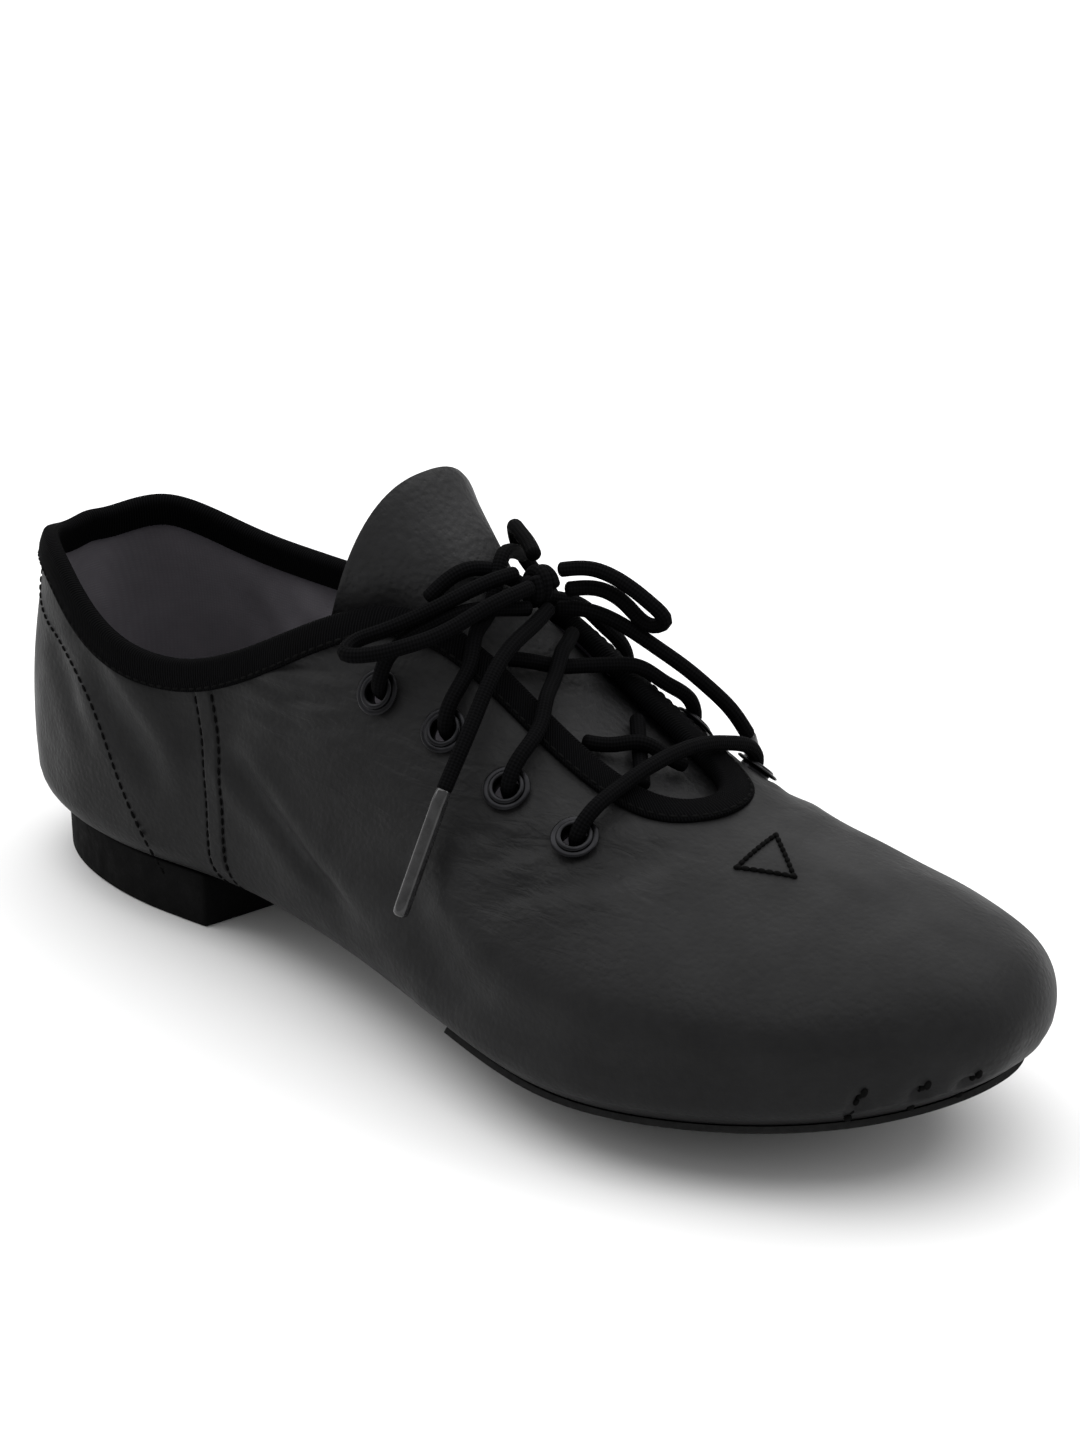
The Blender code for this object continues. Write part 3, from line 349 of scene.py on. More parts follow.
def section(x):
    """Sizes of the last's section at x, in metres, by name."""
    turn = np.arccos(np.clip(1 - 2 * np.asarray(x, float) / LENGTH, -1, 1))
    value = {name: curve(turn) for name, curve in SECTION_CURVES.items()}
    ground = SOLE_THICKNESS + CLEARANCE
    ground = ground + value["seat"] * (HEEL_HEIGHT - SOLE_THICKNESS) + value["toe"] * TOE_SPRING
    depth = value["wide"] * INSTEP_HEIGHT
    return {
        "middle": value["side"] * BALL_WIDTH,
        "outer": np.maximum(value["outer"] * BALL_WIDTH, 1e-6),
        "inner": np.maximum(value["inner"] * BALL_WIDTH, 1e-6),
        "widest": ground + depth,
        "depth": value["full"] * depth,
        "above": value["above"] * INSTEP_HEIGHT,
        "square": value["square"],
    }


def reach(cut, y):
    """How far out y lies in a section: 0 at its middle and 1 at its widest."""
    off = y - cut["middle"]
    return np.clip(np.abs(off) / np.where(off < 0, cut["outer"], cut["inner"]), 0, 1)


def top_height(x, y):
    cut = section(x)
    return cut["widest"] + cut["above"] * np.sqrt(1 - reach(cut, y) ** 2)


def under_height(x, y):
    cut = section(x)
    return cut["widest"] - cut["depth"] * (1 - reach(cut, y) ** cut["square"]) ** (1 / cut["square"])


def lifted(x, y, lift):
    """Point over the top of the last, lifted along its normal, and that normal."""
    step = 0.0004
    slope_x = (top_height(x + step, y) - top_height(x - step, y)) / (2 * step)
    slope_y = (top_height(x, y + step) - top_height(x, y - step)) / (2 * step)
    normal = Vector((-float(slope_x), -float(slope_y), 1.0)).normalized()
    return Vector((float(x), float(y), float(top_height(x, y)))) + normal * lift, normal


def rib_column(name):
    return [row[RIB_COLUMNS.index(name)] for row in RIBS]


def rib_curve(name, odd):
    """A column of the ribs' table as a curve that runs on past the heel and the toe."""
    knots, values = rib_column("rib"), rib_column(name)
    sign = -1 if odd else 1
    mirrored = [-k for k in knots[:0:-1]] + knots + [2 - k for k in knots[-2::-1]]
    return Smooth(mirrored, [sign * v for v in values[:0:-1]] + values + [sign * v for v in values[-2::-1]])


def unit(vectors):
    size = np.linalg.norm(vectors, axis=-1, keepdims=True)
    return vectors / np.where(size == 0, 1, size)


class Ribs:
    """Ribs round the shoe from the opening's rim to the middle underneath: outer side, then inner side."""

    def __init__(self, per_side, seam_step=None):
        orders = self.spaced(per_side, seam_step)
        last = len(orders) - 1
        self.loop = np.concatenate([orders, orders[-2:0:-1]])
        self.side = np.concatenate([np.full(len(orders), -1), np.full(len(orders) - 2, 1)])
        self.mirror = (2 * last - np.arange(len(self.loop))) % len(self.loop)
        self.draw_lines()
        self.find_normals()
        self.find_rim_directions()
        steps = np.linalg.norm(np.diff(self.wall, axis=1), axis=2)
        self.wall_length = np.concatenate([np.zeros((len(steps), 1)), np.cumsum(steps, axis=1)], axis=1)
        self.inset = np.linalg.norm(self.under[:, :, :2] - self.under[:, :1, :2], axis=2)
        self.rim_places = self.wall[:last + 1, 0, 0]
        self.rim_sides = {-1: self.wall[:last + 1, 0, 1], 1: self.wall[self.mirror, 0, 1][:last + 1]}

    def spaced(self, per_side, seam_step):
        """Orders of the ribs from heel to toe, closer together at the side seam."""
        orders = np.linspace(0, 1, per_side + 1)
        if seam_step:
            fine = np.linspace(0, 1, 2001)
            reach_out = SEAM_WIDTH / 2 + 2 * SEAM_RISE
            places = SEAM_PLACE + np.arange(-reach_out, reach_out + seam_step / 2, seam_step)
            extra = np.interp(places / LENGTH, rib_curve("rim", False)(fine), fine)
            far = np.abs(orders[:, None] - extra[None, :]).min(axis=1) > 0.3 / per_side
            orders = np.sort(np.concatenate([orders[far], extra]))
        return orders

    def out_to(self, x, share):
        """Places in plan at a share of the way from the middle to each rib's widest place."""
        cut = section(x)
        wide = np.where(self.side < 0, cut["outer"], cut["inner"])
        return np.stack([x, cut["middle"] + self.side * wide * share], axis=1)

    def draw_lines(self):
        """Each rib's line down the wall and its line on under the foot."""
        knots = rib_column("rib")
        self.rim_x = rib_curve("rim", False)(self.loop) * LENGTH
        outer, inner = (rib_curve(name, True)(self.loop) for name in ("outer", "inner"))
        angle = np.radians(np.where(self.side < 0, outer, inner))
        edge_x = LENGTH * (1 - np.cos(np.pi * np.interp(self.loop, knots, rib_column("edge")))) / 2
        middle_x = np.interp(self.loop, knots, rib_column("middle")) * LENGTH
        tips = (self.loop > 0) & (self.loop < 1)
        rim, edge = self.out_to(self.rim_x, np.sin(angle)), self.out_to(edge_x, tips * 1.0)
        middle = self.out_to(middle_x, 0)
        way = np.linspace(0, 1, LINE_POINTS)
        wall = rim[:, None] + (edge - rim)[:, None] * np.sin(way * math.pi / 2)[None, :, None]
        under = edge[:, None] + (middle - edge)[:, None] * (way**3)[None, :, None]
        self.wall = np.concatenate([wall, top_height(wall[..., 0], wall[..., 1])[..., None]], axis=2)
        self.under = np.concatenate([under, under_height(under[..., 0], under[..., 1])[..., None]], axis=2)
        self.under[:, 0] = self.wall[:, -1]

    def find_normals(self):
        """Normals along both lines, shared where they meet and on the middle line."""
        self.wall_normal, self.under_normal = self.normals(self.wall), self.normals(self.under)
        shared = unit(self.wall_normal[:, -1] + self.under_normal[:, 1])
        self.wall_normal[:, -1] = self.under_normal[:, 0] = shared
        self.under_normal[:, -1] = unit(self.under_normal[:, -3] + self.under_normal[self.mirror, -3])

    def find_rim_directions(self):
        """Ways along, down and over the rim, and how square the first two are."""
        rim, facing = self.wall[:, 0], self.wall_normal[:, 0]
        around = unit(np.roll(rim, -1, axis=0) - np.roll(rim, 1, axis=0))
        down = unit(self.wall[:, 4] - rim)
        slant = (around * down).sum(axis=1)
        self.square = np.sqrt(np.clip(1 - slant**2, 0.25, 1))
        over = np.cross(facing, around)
        self.over = over * np.where((over * down).sum(axis=1) > 0, -1, 1)[:, None]

    def normals(self, lines):
        along = np.gradient(lines, axis=1)
        around = np.roll(lines, -1, axis=0) - np.roll(lines, 1, axis=0)
        return unit(np.cross(along, around))

    def rim_y(self, x, side):
        """How far to the side the opening's rim lies at x."""
        return float(np.interp(x, self.rim_places, self.rim_sides[side]))

    def pick(self, lines, normals, measure, target):
        found = np.empty((len(lines), 6))
        both = np.concatenate([lines, normals], axis=2)
        for i in range(len(lines)):
            for axis in range(6):
                found[i, axis] = np.interp(target[i], measure[i], both[i, :, axis])
        return found[:, :3], unit(found[:, 3:])

    def from_rim(self, distance):
        """Row at a distance from the rim, measured square to it."""
        return self.pick(self.wall, self.wall_normal, self.wall_length, distance / self.square)

    def down_wall(self, start, share):
        """Row at a share of the way from a line below the rim to the widest line."""
        first = start / self.square
        return self.pick(self.wall, self.wall_normal, self.wall_length,
                         first + (self.wall_length[:, -1] - first) * share)

    def under_foot(self, inset):
        """Row under the foot at a plan distance in from the widest outline."""
        return self.pick(self.under, self.under_normal, self.inset, np.full(len(self.loop), inset))

    def to_middle(self, inset, share):
        """Row at a share of the way from an inset line to the middle."""
        target = inset + (self.inset[:, -1] - inset) * share
        points, normals = self.pick(self.under, self.under_normal, self.inset, target)
        if share == 1.0:
            # Both sides meet on the middle line, so neither may lean away from it.
            normals = normals * (1, 0, 1)
            normals /= np.linalg.norm(normals, axis=1)[:, None]
        return points, normals


@functools.lru_cache(maxsize=None)
def ribs(per_side, seam_step=None):
    return Ribs(per_side, seam_step)


def band_faces(rows, count, closed=True, keep=None):
    """Faces of a grid of rows, each of them count points long."""
    faces = []
    for row in range(rows - 1):
        for i in range(count if closed else count - 1):
            j = (i + 1) % count
            if keep is None or keep(row, i, j):
                low, high = row * count, (row + 1) * count
                faces.append((low + i, high + i, high + j, low + j))
    return faces


def two_layers(outside, inside, faces):
    """Points and faces of a closed wall: the outer layer's faces, then the inner layer's and the edges'."""
    used = sorted({v for face in faces for v in face})
    order = {v: k for k, v in enumerate(used)}
    skin = [tuple(order[v] for v in face) for face in faces]
    shift = len(used)
    edges = {(a, b) for face in skin for a, b in zip(face, face[1:] + face[:1])}
    sides = [(b, a, a + shift, b + shift) for a, b in edges if (b, a) not in edges]
    back = [tuple(v + shift for v in reversed(face)) for face in skin]
    points = np.concatenate([outside[used], inside[used]])
    return points, skin + back + sorted(sides)


# Objects and their finish
def linked(name, data):
    """Object of a mesh, a light or a camera, in the scene."""
    made = bpy.data.objects.new(name, data)
    bpy.context.scene.collection.objects.link(made)
    return made


def clean(mesh, merge=0.0):
    """Merge points that lie together and turn all faces outwards."""
    work = bmesh.new()
    work.from_mesh(mesh)
    if merge:
        bmesh.ops.remove_doubles(work, verts=work.verts, dist=merge)
    bmesh.ops.recalc_face_normals(work, faces=work.faces)
    work.to_mesh(mesh)
    work.free()


def shade_smoothly(mesh, degrees):
    """Smooth shading that keeps edges sharper than an angle."""
    mesh.shade_smooth()
    mesh.set_sharp_from_angle(angle=math.radians(degrees))


def piece(name, points, faces, finishes, smooth=50, merge=1e-6, groups=None):
    """Closed mesh object over the part, with faces outwards. groups gives each face's finish."""
    mesh = bpy.data.meshes.new(name)
    mesh.from_pydata([tuple(map(float, p)) for p in points], [], [tuple(map(int, f)) for f in faces])
    for material in finishes:
        mesh.materials.append(material)
    if groups is not None:
        mesh.polygons.foreach_set("material_index", np.asarray(groups, np.int32))
    clean(mesh, merge)
    mesh.transform(Matrix.Translation(SHIFT))
    shade_smoothly(mesh, smooth)
    return linked(name, mesh)


def settle(made, slot, *nodes):
    """Hand a finished piece to the frame: its body and the CAD nodes it stands for. Its finish slot is not
    used.
    """
    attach(made, "root")
    if nodes:
        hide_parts(*nodes)


def apply_modifiers(made):
    """Make what the modifiers give the object's own mesh."""
    deps = bpy.context.evaluated_depsgraph_get()
    mesh = bpy.data.meshes.new_from_object(made.evaluated_get(deps), preserve_all_data_layers=True,
                                           depsgraph=deps)
    old = made.data
    made.modifiers.clear()
    made.data = mesh
    bpy.data.meshes.remove(old)
    mesh.name = made.name


def run_tree(name, points, edges, outward, tree, values):
    """Plain mesh that a Geometry Nodes tree grows on points with an outward direction."""
    mesh = bpy.data.meshes.new(name + "_lines")
    mesh.from_pydata([tuple(map(float, p)) for p in points], edges, [])
    mesh.attributes.new("outward", "FLOAT_VECTOR", "POINT").data.foreach_set(
        "vector", np.asarray(outward, np.float32).ravel())
    made = linked(name, mesh)
    grow = made.modifiers.new("grow", "NODES")
    grow.node_group = tree
    for item in tree.interface.items_tree:
        if item.item_type == "SOCKET" and item.in_out == "INPUT" and item.name in values:
            grow[item.identifier] = values[item.name]
    apply_modifiers(made)
    clean(made.data, 1e-7)
    made.data.transform(Matrix.Translation(SHIFT))
    made.data.shade_smooth()
    return made


def feed(tree, socket, value):
    """Link a socket to another one, or set its value."""
    if isinstance(value, bpy.types.NodeSocket):
        tree.links.new(value, socket)
    else:
        socket.default_value = value


class Finish:
    """Node material with a Principled shader, built up one node at a time."""

    def __init__(self, name, colour, roughness, metallic=0.0, coat=0.0, specular=0.5):
        self.made = bpy.data.materials.new(name)
        self.made.use_nodes = True
        self.made.diffuse_color = (*colour, 1.0)
        self.tree = self.made.node_tree
        self.shader = self.tree.nodes["Principled BSDF"]
        self.shader.inputs["Base Color"].default_value = (*colour, 1.0)
        self.shader.inputs["Roughness"].default_value = roughness
        self.shader.inputs["Metallic"].default_value = metallic
        self.shader.inputs["Coat Weight"].default_value = coat
        self.shader.inputs["Coat Roughness"].default_value = 0.08
        self.shader.inputs["Specular IOR Level"].default_value = specular
        self.place = self.node("ShaderNodeTexCoord").outputs["Object"]
        self.bumps = None

    def node(self, kind, inputs=None, **settings):
        made = self.tree.nodes.new(kind)
        made.location = (-200 * len(self.tree.nodes), 0)
        for name, value in settings.items():
            setattr(made, name, value)
        for name, value in (inputs or {}).items():
            feed(self.tree, made.inputs[name], value)
        return made

    def math(self, operation, *values):
        made = self.tree.nodes.new("ShaderNodeMath")
        made.operation = operation
        for socket, value in zip(made.inputs, values):
            feed(self.tree, socket, value)
        return made.outputs[0]

    def mixed(self, first, second, share):
        """Sum of two values, the first one by its share."""
        return self.math("ADD", self.math("MULTIPLY", first, share),
                         self.math("MULTIPLY", second, 1 - share))

    def along_uv(self):
        """Both coordinates of the piece's own UV map."""
        uv = self.node("ShaderNodeUVMap", uv_map="UVMap").outputs["UV"]
        parts = self.node("ShaderNodeSeparateXYZ", {"Vector": uv})
        return parts.outputs["X"], parts.outputs["Y"]

    def waves(self, scale, direction):
        """Even bands square to an axis."""
        return self.node("ShaderNodeTexWave", {"Vector": self.place, "Scale": scale},
                         bands_direction=direction).outputs["Fac"]

    def scaled(self, size, vector=None):
        """Coordinates stretched by a size for each axis."""
        return self.node("ShaderNodeMapping", {"Vector": vector or self.place, "Scale": size}).outputs[0]

    def noise(self, scale, detail=3.0, vector=None, distortion=0.0):
        return self.node("ShaderNodeTexNoise", {
            "Vector": vector or self.place, "Scale": scale, "Detail": detail,
            "Distortion": distortion}).outputs["Fac"]

    def pebbles(self, scale):
        return self.node("ShaderNodeTexVoronoi", {"Vector": self.place, "Scale": scale},
                         feature="SMOOTH_F1").outputs["Distance"]

    def spread(self, value, low, high, to_low, to_high):
        """A value taken from one range to another, held at both ends."""
        return self.node("ShaderNodeMapRange", {"Value": value, "From Min": low, "From Max": high,
                                                "To Min": to_low, "To Max": to_high}).outputs["Result"]

    def tint(self, value, stops):
        """Base colour from a value, through places and colours."""
        ramp = self.node("ShaderNodeValToRGB", {"Fac": value})
        table = ramp.color_ramp.elements
        while len(table) < len(stops):
            table.new(0.5)
        for element, (at, colour) in zip(table, stops):
            element.position = at
            element.color = (*colour, 1.0)
        self.tree.links.new(ramp.outputs["Color"], self.shader.inputs["Base Color"])

    def rough(self, value):
        self.tree.links.new(value, self.shader.inputs["Roughness"])

    def bump(self, height, distance, strength=1.0):
        made = self.node("ShaderNodeBump", {"Height": height, "Distance": distance, "Strength": strength})
        if self.bumps:
            self.tree.links.new(self.bumps, made.inputs["Normal"])
        self.bumps = made.outputs["Normal"]
        self.tree.links.new(self.bumps, self.shader.inputs["Normal"])


def shade(colour, factor):
    return tuple(c * factor for c in colour)


def leather_finish(name, colour, grain, pebble=950.0):
    """Soft black leather: pebbled grain, pores, fine wrinkles where the piece is marked for them."""
    made = Finish(name, colour, 0.5, specular=0.09)
    broad = made.noise(26.0, 4.0)
    fine = made.noise(420.0, 4.0)
    uneven = 0.35
    made.tint(made.mixed(broad, fine, 0.75),
              ((0.30, shade(colour, 1 - uneven)), (0.52, colour), (0.72, shade(colour, 1 + uneven))))
    made.rough(made.spread(made.noise(75.0, 5.0), 0.3, 0.7, 0.42, 0.60))
    marked = made.node("ShaderNodeAttribute", attribute_name="wrinkle").outputs["Fac"]
    lines = made.noise(1.0, 5.0, made.scaled((110.0, 260.0, 470.0)), 0.6)
    made.bump(made.math("MULTIPLY", lines, marked), 0.0014, 0.5)
    made.bump(made.pebbles(pebble), grain, 0.5)
    made.bump(made.noise(2600.0, 2.0), grain * 0.4, 0.5)
    return made.made


def lining_finish(colour):
    """Matt lining cloth with a fine plain weave."""
    made = Finish("Lining cloth", colour, 0.9, specular=0.15)
    weave = made.math("MULTIPLY", made.waves(520.0, "X"), made.waves(520.0, "Z"))
    made.tint(made.mixed(made.noise(40.0, 4.0), weave, 0.93),
              ((0.3, shade(colour, 0.72)), (0.7, shade(colour, 1.2))))
    made.bump(made.noise(120.0, 4.0), 0.0006, 0.5)
    made.bump(weave, 0.00007, 0.4)
    return made.made


def ribbon_finish(colour):
    """Ribbed ribbon: ribs run across it, from the length along its own UV map."""
    made = Finish("Ribbed binding", colour, 0.85, specular=0.015)
    along, across = made.along_uv()
    rib_pitch, lean = 0.00062, 900.0
    slant = made.math("ADD", made.math("MULTIPLY", along, 2 * math.pi / rib_pitch),
                      made.math("MULTIPLY", across, lean))
    ribbing = made.spread(made.math("SINE", slant), -1.0, 1.0, 0.0, 1.0)
    made.tint(made.mixed(ribbing, made.noise(90.0, 4.0), 0.6),
              ((0.2, shade(colour, 0.55)), (0.8, shade(colour, 1.5))))
    made.bump(ribbing, 0.00025, 0.8)
    made.bump(made.noise(1500.0, 3.0), 0.0001, 0.6)
    return made.made


def cord_finish(colour):
    """Round braided cord, from the turn and the length on its own UV map."""
    made = Finish("Braided cord", colour, 0.82, specular=0.02)
    turn, way = made.along_uv()
    plaits_around, plaits_along = 6, 2.4
    around = made.math("MULTIPLY", turn, 2 * math.pi * plaits_around)
    along = made.math("MULTIPLY", way, 2 * math.pi * plaits_along)
    left = made.math("SINE", made.math("ADD", around, along))
    right = made.math("SINE", made.math("SUBTRACT", around, along))
    braid = made.spread(made.math("MULTIPLY", left, right), -1.0, 1.0, 0.0, 1.0)
    made.tint(made.mixed(braid, made.noise(160.0, 3.0), 0.7),
              ((0.2, shade(colour, 0.5)), (0.75, shade(colour, 1.6))))
    made.bump(braid, 0.00022, 0.6)
    made.bump(made.noise(2400.0, 2.0), 0.0001, 0.5)
    return made.made


def rubber_finish(colour):
    """Matt moulded rubber with a light speckle."""
    made = Finish("Heel rubber", colour, 0.75, specular=0.03)
    made.tint(made.noise(60.0, 5.0), ((0.3, shade(colour, 0.75)), (0.7, shade(colour, 1.35))))
    made.rough(made.spread(made.noise(300.0, 3.0), 0.3, 0.7, 0.62, 0.85))
    made.bump(made.noise(900.0, 4.0), 0.0002, 0.6)
    return made.made


def suede_finish(colour):
    """Napped suede of the forefoot patch."""
    made = Finish("Sole suede", colour, 0.95, specular=0.03)
    nap = made.noise(700.0, 6.0)
    made.tint(made.mixed(nap, made.noise(45.0, 5.0), 0.4),
              ((0.3, shade(colour, 0.7)), (0.7, shade(colour, 1.4))))
    made.bump(nap, 0.0004, 0.8)
    return made.made


def enamel_finish(colour):
    """Dark satin metal of the eyelets, a little worn."""
    made = Finish("Eyelet enamel", colour, 0.32, metallic=1.0)
    wear = made.noise(260.0, 5.0)
    made.tint(wear, ((0.35, shade(colour, 0.8)), (0.7, shade(colour, 1.5))))
    made.rough(made.spread(wear, 0.3, 0.7, 0.24, 0.42))
    made.bump(made.noise(1200.0, 2.0), 0.00005, 0.4)
    return made.made


def thread_finish(name, colour):
    """Twisted sewing thread."""
    made = Finish(name, colour, 0.8, specular=0.02)
    made.tint(made.noise(900.0, 2.0), ((0.3, shade(colour, 0.7)), (0.7, shade(colour, 1.4))))
    made.bump(made.noise(3000.0, 2.0), 0.0001, 0.6)
    return made.made


def tip_finish(colour):
    """Clear hard film shrunk over the cord's dark end."""
    made = Finish("Clear tip film", colour, 0.12, coat=0.35, specular=0.25)
    made.tint(made.noise(500.0, 3.0), ((0.3, shade(colour, 0.6)), (0.7, shade(colour, 1.4))))
    made.bump(made.noise(350.0, 3.0), 0.0001, 0.3)
    return made.made


def floor_finish(colour):
    made = Finish("Pale floor", colour, 0.9)
    made.tint(made.noise(3.0, 2.0), ((0.0, shade(colour, 0.995)), (1.0, colour)))
    return made.made


# Geometry Nodes trees
def new_tree(name, sockets):
    tree = bpy.data.node_groups.new(name, "GeometryNodeTree")
    tree.interface.new_socket("Lines", in_out="INPUT", socket_type="NodeSocketGeometry")
    for label, kind in sockets:
        tree.interface.new_socket(label, in_out="INPUT", socket_type=kind)
    tree.interface.new_socket("Pieces", in_out="OUTPUT", socket_type="NodeSocketGeometry")
    given = tree.nodes.new("NodeGroupInput")
    return tree, given


def add(tree, kind, inputs=None, **settings):
    made = tree.nodes.new(kind)
    for name, value in settings.items():
        setattr(made, name, value)
    for name, value in (inputs or {}).items():
        feed(tree, made.inputs[name], value)
    return made


def close_tree(tree, given, instances):
    """Real geometry with its finish, at the end of every tree."""
    real = add(tree, "GeometryNodeRealizeInstances", {"Geometry": instances})
    ended = add(tree, "GeometryNodeSetMaterial", {"Geometry": real.outputs[0],
                                                  "Material": given.outputs["Finish"]})
    out = tree.nodes.new("NodeGroupOutput")
    tree.links.new(ended.outputs[0], out.inputs["Pieces"])
    return tree


@functools.lru_cache(maxsize=None)
def stitch_tree():
    """Stitches laid end to end along each line, flat on the face that the outward direction gives."""
    tree, given = new_tree("Stitches along a seam", (
        ("Pitch", "NodeSocketFloat"), ("Stitch", "NodeSocketFloat"), ("Thread", "NodeSocketFloat"),
        ("Finish", "NodeSocketMaterial")))
    curve = add(tree, "GeometryNodeMeshToCurve", {"Mesh": given.outputs["Lines"]})
    even = add(tree, "GeometryNodeResampleCurve",
               {"Curve": curve.outputs[0], "Length": given.outputs["Pitch"]}, mode="LENGTH")
    outward = add(tree, "GeometryNodeInputNamedAttribute", {"Name": "outward"}, data_type="FLOAT_VECTOR")
    tangent = add(tree, "GeometryNodeInputTangent")
    up = add(tree, "FunctionNodeAlignRotationToVector", {"Vector": outward.outputs["Attribute"]}, axis="Z")
    turn = add(tree, "FunctionNodeAlignRotationToVector",
               {"Rotation": up.outputs[0], "Vector": tangent.outputs[0]}, axis="X", pivot_axis="Z")
    bead = add(tree, "GeometryNodeMeshUVSphere", {"Segments": 8, "Rings": 5, "Radius": 0.5})
    size = add(tree, "ShaderNodeCombineXYZ", {"X": given.outputs["Stitch"], "Y": given.outputs["Thread"],
                                              "Z": given.outputs["Thread"]})
    laid = add(tree, "GeometryNodeInstanceOnPoints", {
        "Points": even.outputs[0], "Instance": bead.outputs["Mesh"], "Rotation": turn.outputs[0],
        "Scale": size.outputs[0]})
    return close_tree(tree, given, laid.outputs[0])


@functools.lru_cache(maxsize=None)
def eyelet_tree():
    """Rolled eyelets: a wide flange, a raised lip and a barrel, one on each point."""
    tree, given = new_tree("Eyelets on their points", (
        ("Flange radius", "NodeSocketFloat"), ("Flange roundness", "NodeSocketFloat"),
        ("Lip radius", "NodeSocketFloat"), ("Lip roundness", "NodeSocketFloat"),
        ("Seat", "NodeSocketFloat"), ("Depth", "NodeSocketFloat"), ("Finish", "NodeSocketMaterial")))

    def ring(radius, roundness, height, stretch):
        path, profile = (
            add(tree, "GeometryNodeCurvePrimitiveCircle", {"Resolution": points, "Radius": size},
                mode="RADIUS")
            for points, size in ((44, radius), (12, roundness)))
        swept = add(tree, "GeometryNodeCurveToMesh", {"Curve": path.outputs[0],
                                                      "Profile Curve": profile.outputs[0]})
        move = add(tree, "ShaderNodeCombineXYZ", {"Z": height})
        size = add(tree, "ShaderNodeCombineXYZ", {"X": 1.0, "Y": 1.0, "Z": stretch})
        return add(tree, "GeometryNodeTransform", {
            "Geometry": swept.outputs[0], "Translation": move.outputs[0],
            "Scale": size.outputs[0]}).outputs[0]

    def count(operation, first, second):
        made = add(tree, "ShaderNodeMath", operation=operation)
        for socket, value in zip(made.inputs, (first, second)):
            feed(tree, socket, value)
        return made.outputs[0]

    seat, depth = given.outputs["Seat"], given.outputs["Depth"]
    flange = ring(given.outputs["Flange radius"], given.outputs["Flange roundness"],
                  count("ADD", seat, 0.0002), 0.5)
    lip = ring(given.outputs["Lip radius"], given.outputs["Lip roundness"], count("ADD", seat, 0.00055), 0.8)
    thin = 0.00028
    barrel = ring(given.outputs["Lip radius"], thin, count("SUBTRACT", seat, count("MULTIPLY", depth, 0.5)),
                  count("DIVIDE", depth, 2 * thin))
    turned_back = ring(count("ADD", given.outputs["Lip radius"], 0.0004), given.outputs["Lip roundness"],
                       count("SUBTRACT", seat, depth), 0.6)
    whole = add(tree, "GeometryNodeJoinGeometry")
    for part in (flange, lip, barrel, turned_back):
        tree.links.new(part, whole.inputs[0])
    outward = add(tree, "GeometryNodeInputNamedAttribute", {"Name": "outward"}, data_type="FLOAT_VECTOR")
    up = add(tree, "FunctionNodeAlignRotationToVector", {"Vector": outward.outputs["Attribute"]}, axis="Z")
    placed = add(tree, "GeometryNodeInstanceOnPoints", {
        "Points": given.outputs["Lines"], "Instance": whole.outputs[0], "Rotation": up.outputs[0]})
    return close_tree(tree, given, placed.outputs[0])


# Routes of the lace
def smooth_route(points, spacing):
    """Even points along a smooth curve through a route's own points."""
    points = np.array([tuple(p) for p in points], float)
    steps = np.linalg.norm(np.diff(points, axis=0), axis=1)
    reach_to = np.concatenate([[0], np.cumsum(steps)])
    count = max(4, int(round(reach_to[-1] / spacing)) + 1)
    at = np.linspace(0, reach_to[-1], count)
    return np.column_stack([Smooth(reach_to, points[:, k])(at) for k in range(3)])


def eyelet_place(row, side):
    """Where an eyelet sits: set back from the rim, measured over the upper at one x."""
    x = EYELET_FIRST + row * EYELET_PITCH
    cut = section(x)
    lean = np.linspace(0, math.pi / 2, 400)
    width = float(cut["outer"] if side < 0 else cut["inner"])
    across, high = width * np.sin(lean), float(cut["above"]) * np.cos(lean)
    length = np.concatenate([[0], np.cumsum(np.hypot(np.diff(across), np.diff(high)))])
    rim = ribs(COARSE_RIBS).rim_y(x, side)
    start = np.interp(abs(rim - float(cut["middle"])), across, length)
    return x, float(cut["middle"]) + side * float(np.interp(start + EYELET_SETBACK, length, across))


def tongue_crown(x):
    way = (x - TONGUE_TOP) / (TONGUE_BASE - TONGUE_TOP)
    rise, depth = float(TONGUE_CURVES["rise"](way)), float(TONGUE_CURVES["depth"](way))
    cut = section(x)
    slope = float(top_height(x + 0.001, cut["middle"]) - top_height(x - 0.001, cut["middle"])) / 0.002
    height = float(cut["widest"] + cut["above"]) + rise * TONGUE_RISE
    height -= depth * TONGUE_DEPTH * math.sqrt(1 + slope**2)
    edge = ribs(COARSE_RIBS)
    place = min(x, edge.rim_places[-2])
    return Vector((x, (edge.rim_y(place, -1) + edge.rim_y(place, 1)) / 2, height))


def droop(share):
    """Share of the tongue's arch that it has come down at a share of its half width."""
    round_off, draw_in = TONGUE_DROOP
    return 1 - (1 - share**round_off) ** draw_in


def tongue_row(x):
    """Crown of the tongue at x, the way down from it, and the row's half width and arch."""
    along = (tongue_crown(x + 0.001) - tongue_crown(x - 0.001)).normalized()
    down = Vector((along.z, 0.0, -along.x)).normalized()
    way = (x - TONGUE_TOP) / (TONGUE_BASE - TONGUE_TOP)
    width, arch = float(TONGUE_CURVES["width"](way)), float(TONGUE_CURVES["arch"](way))
    return tongue_crown(x), down, width * TONGUE_HALF_WIDTH, arch * TONGUE_ARCH


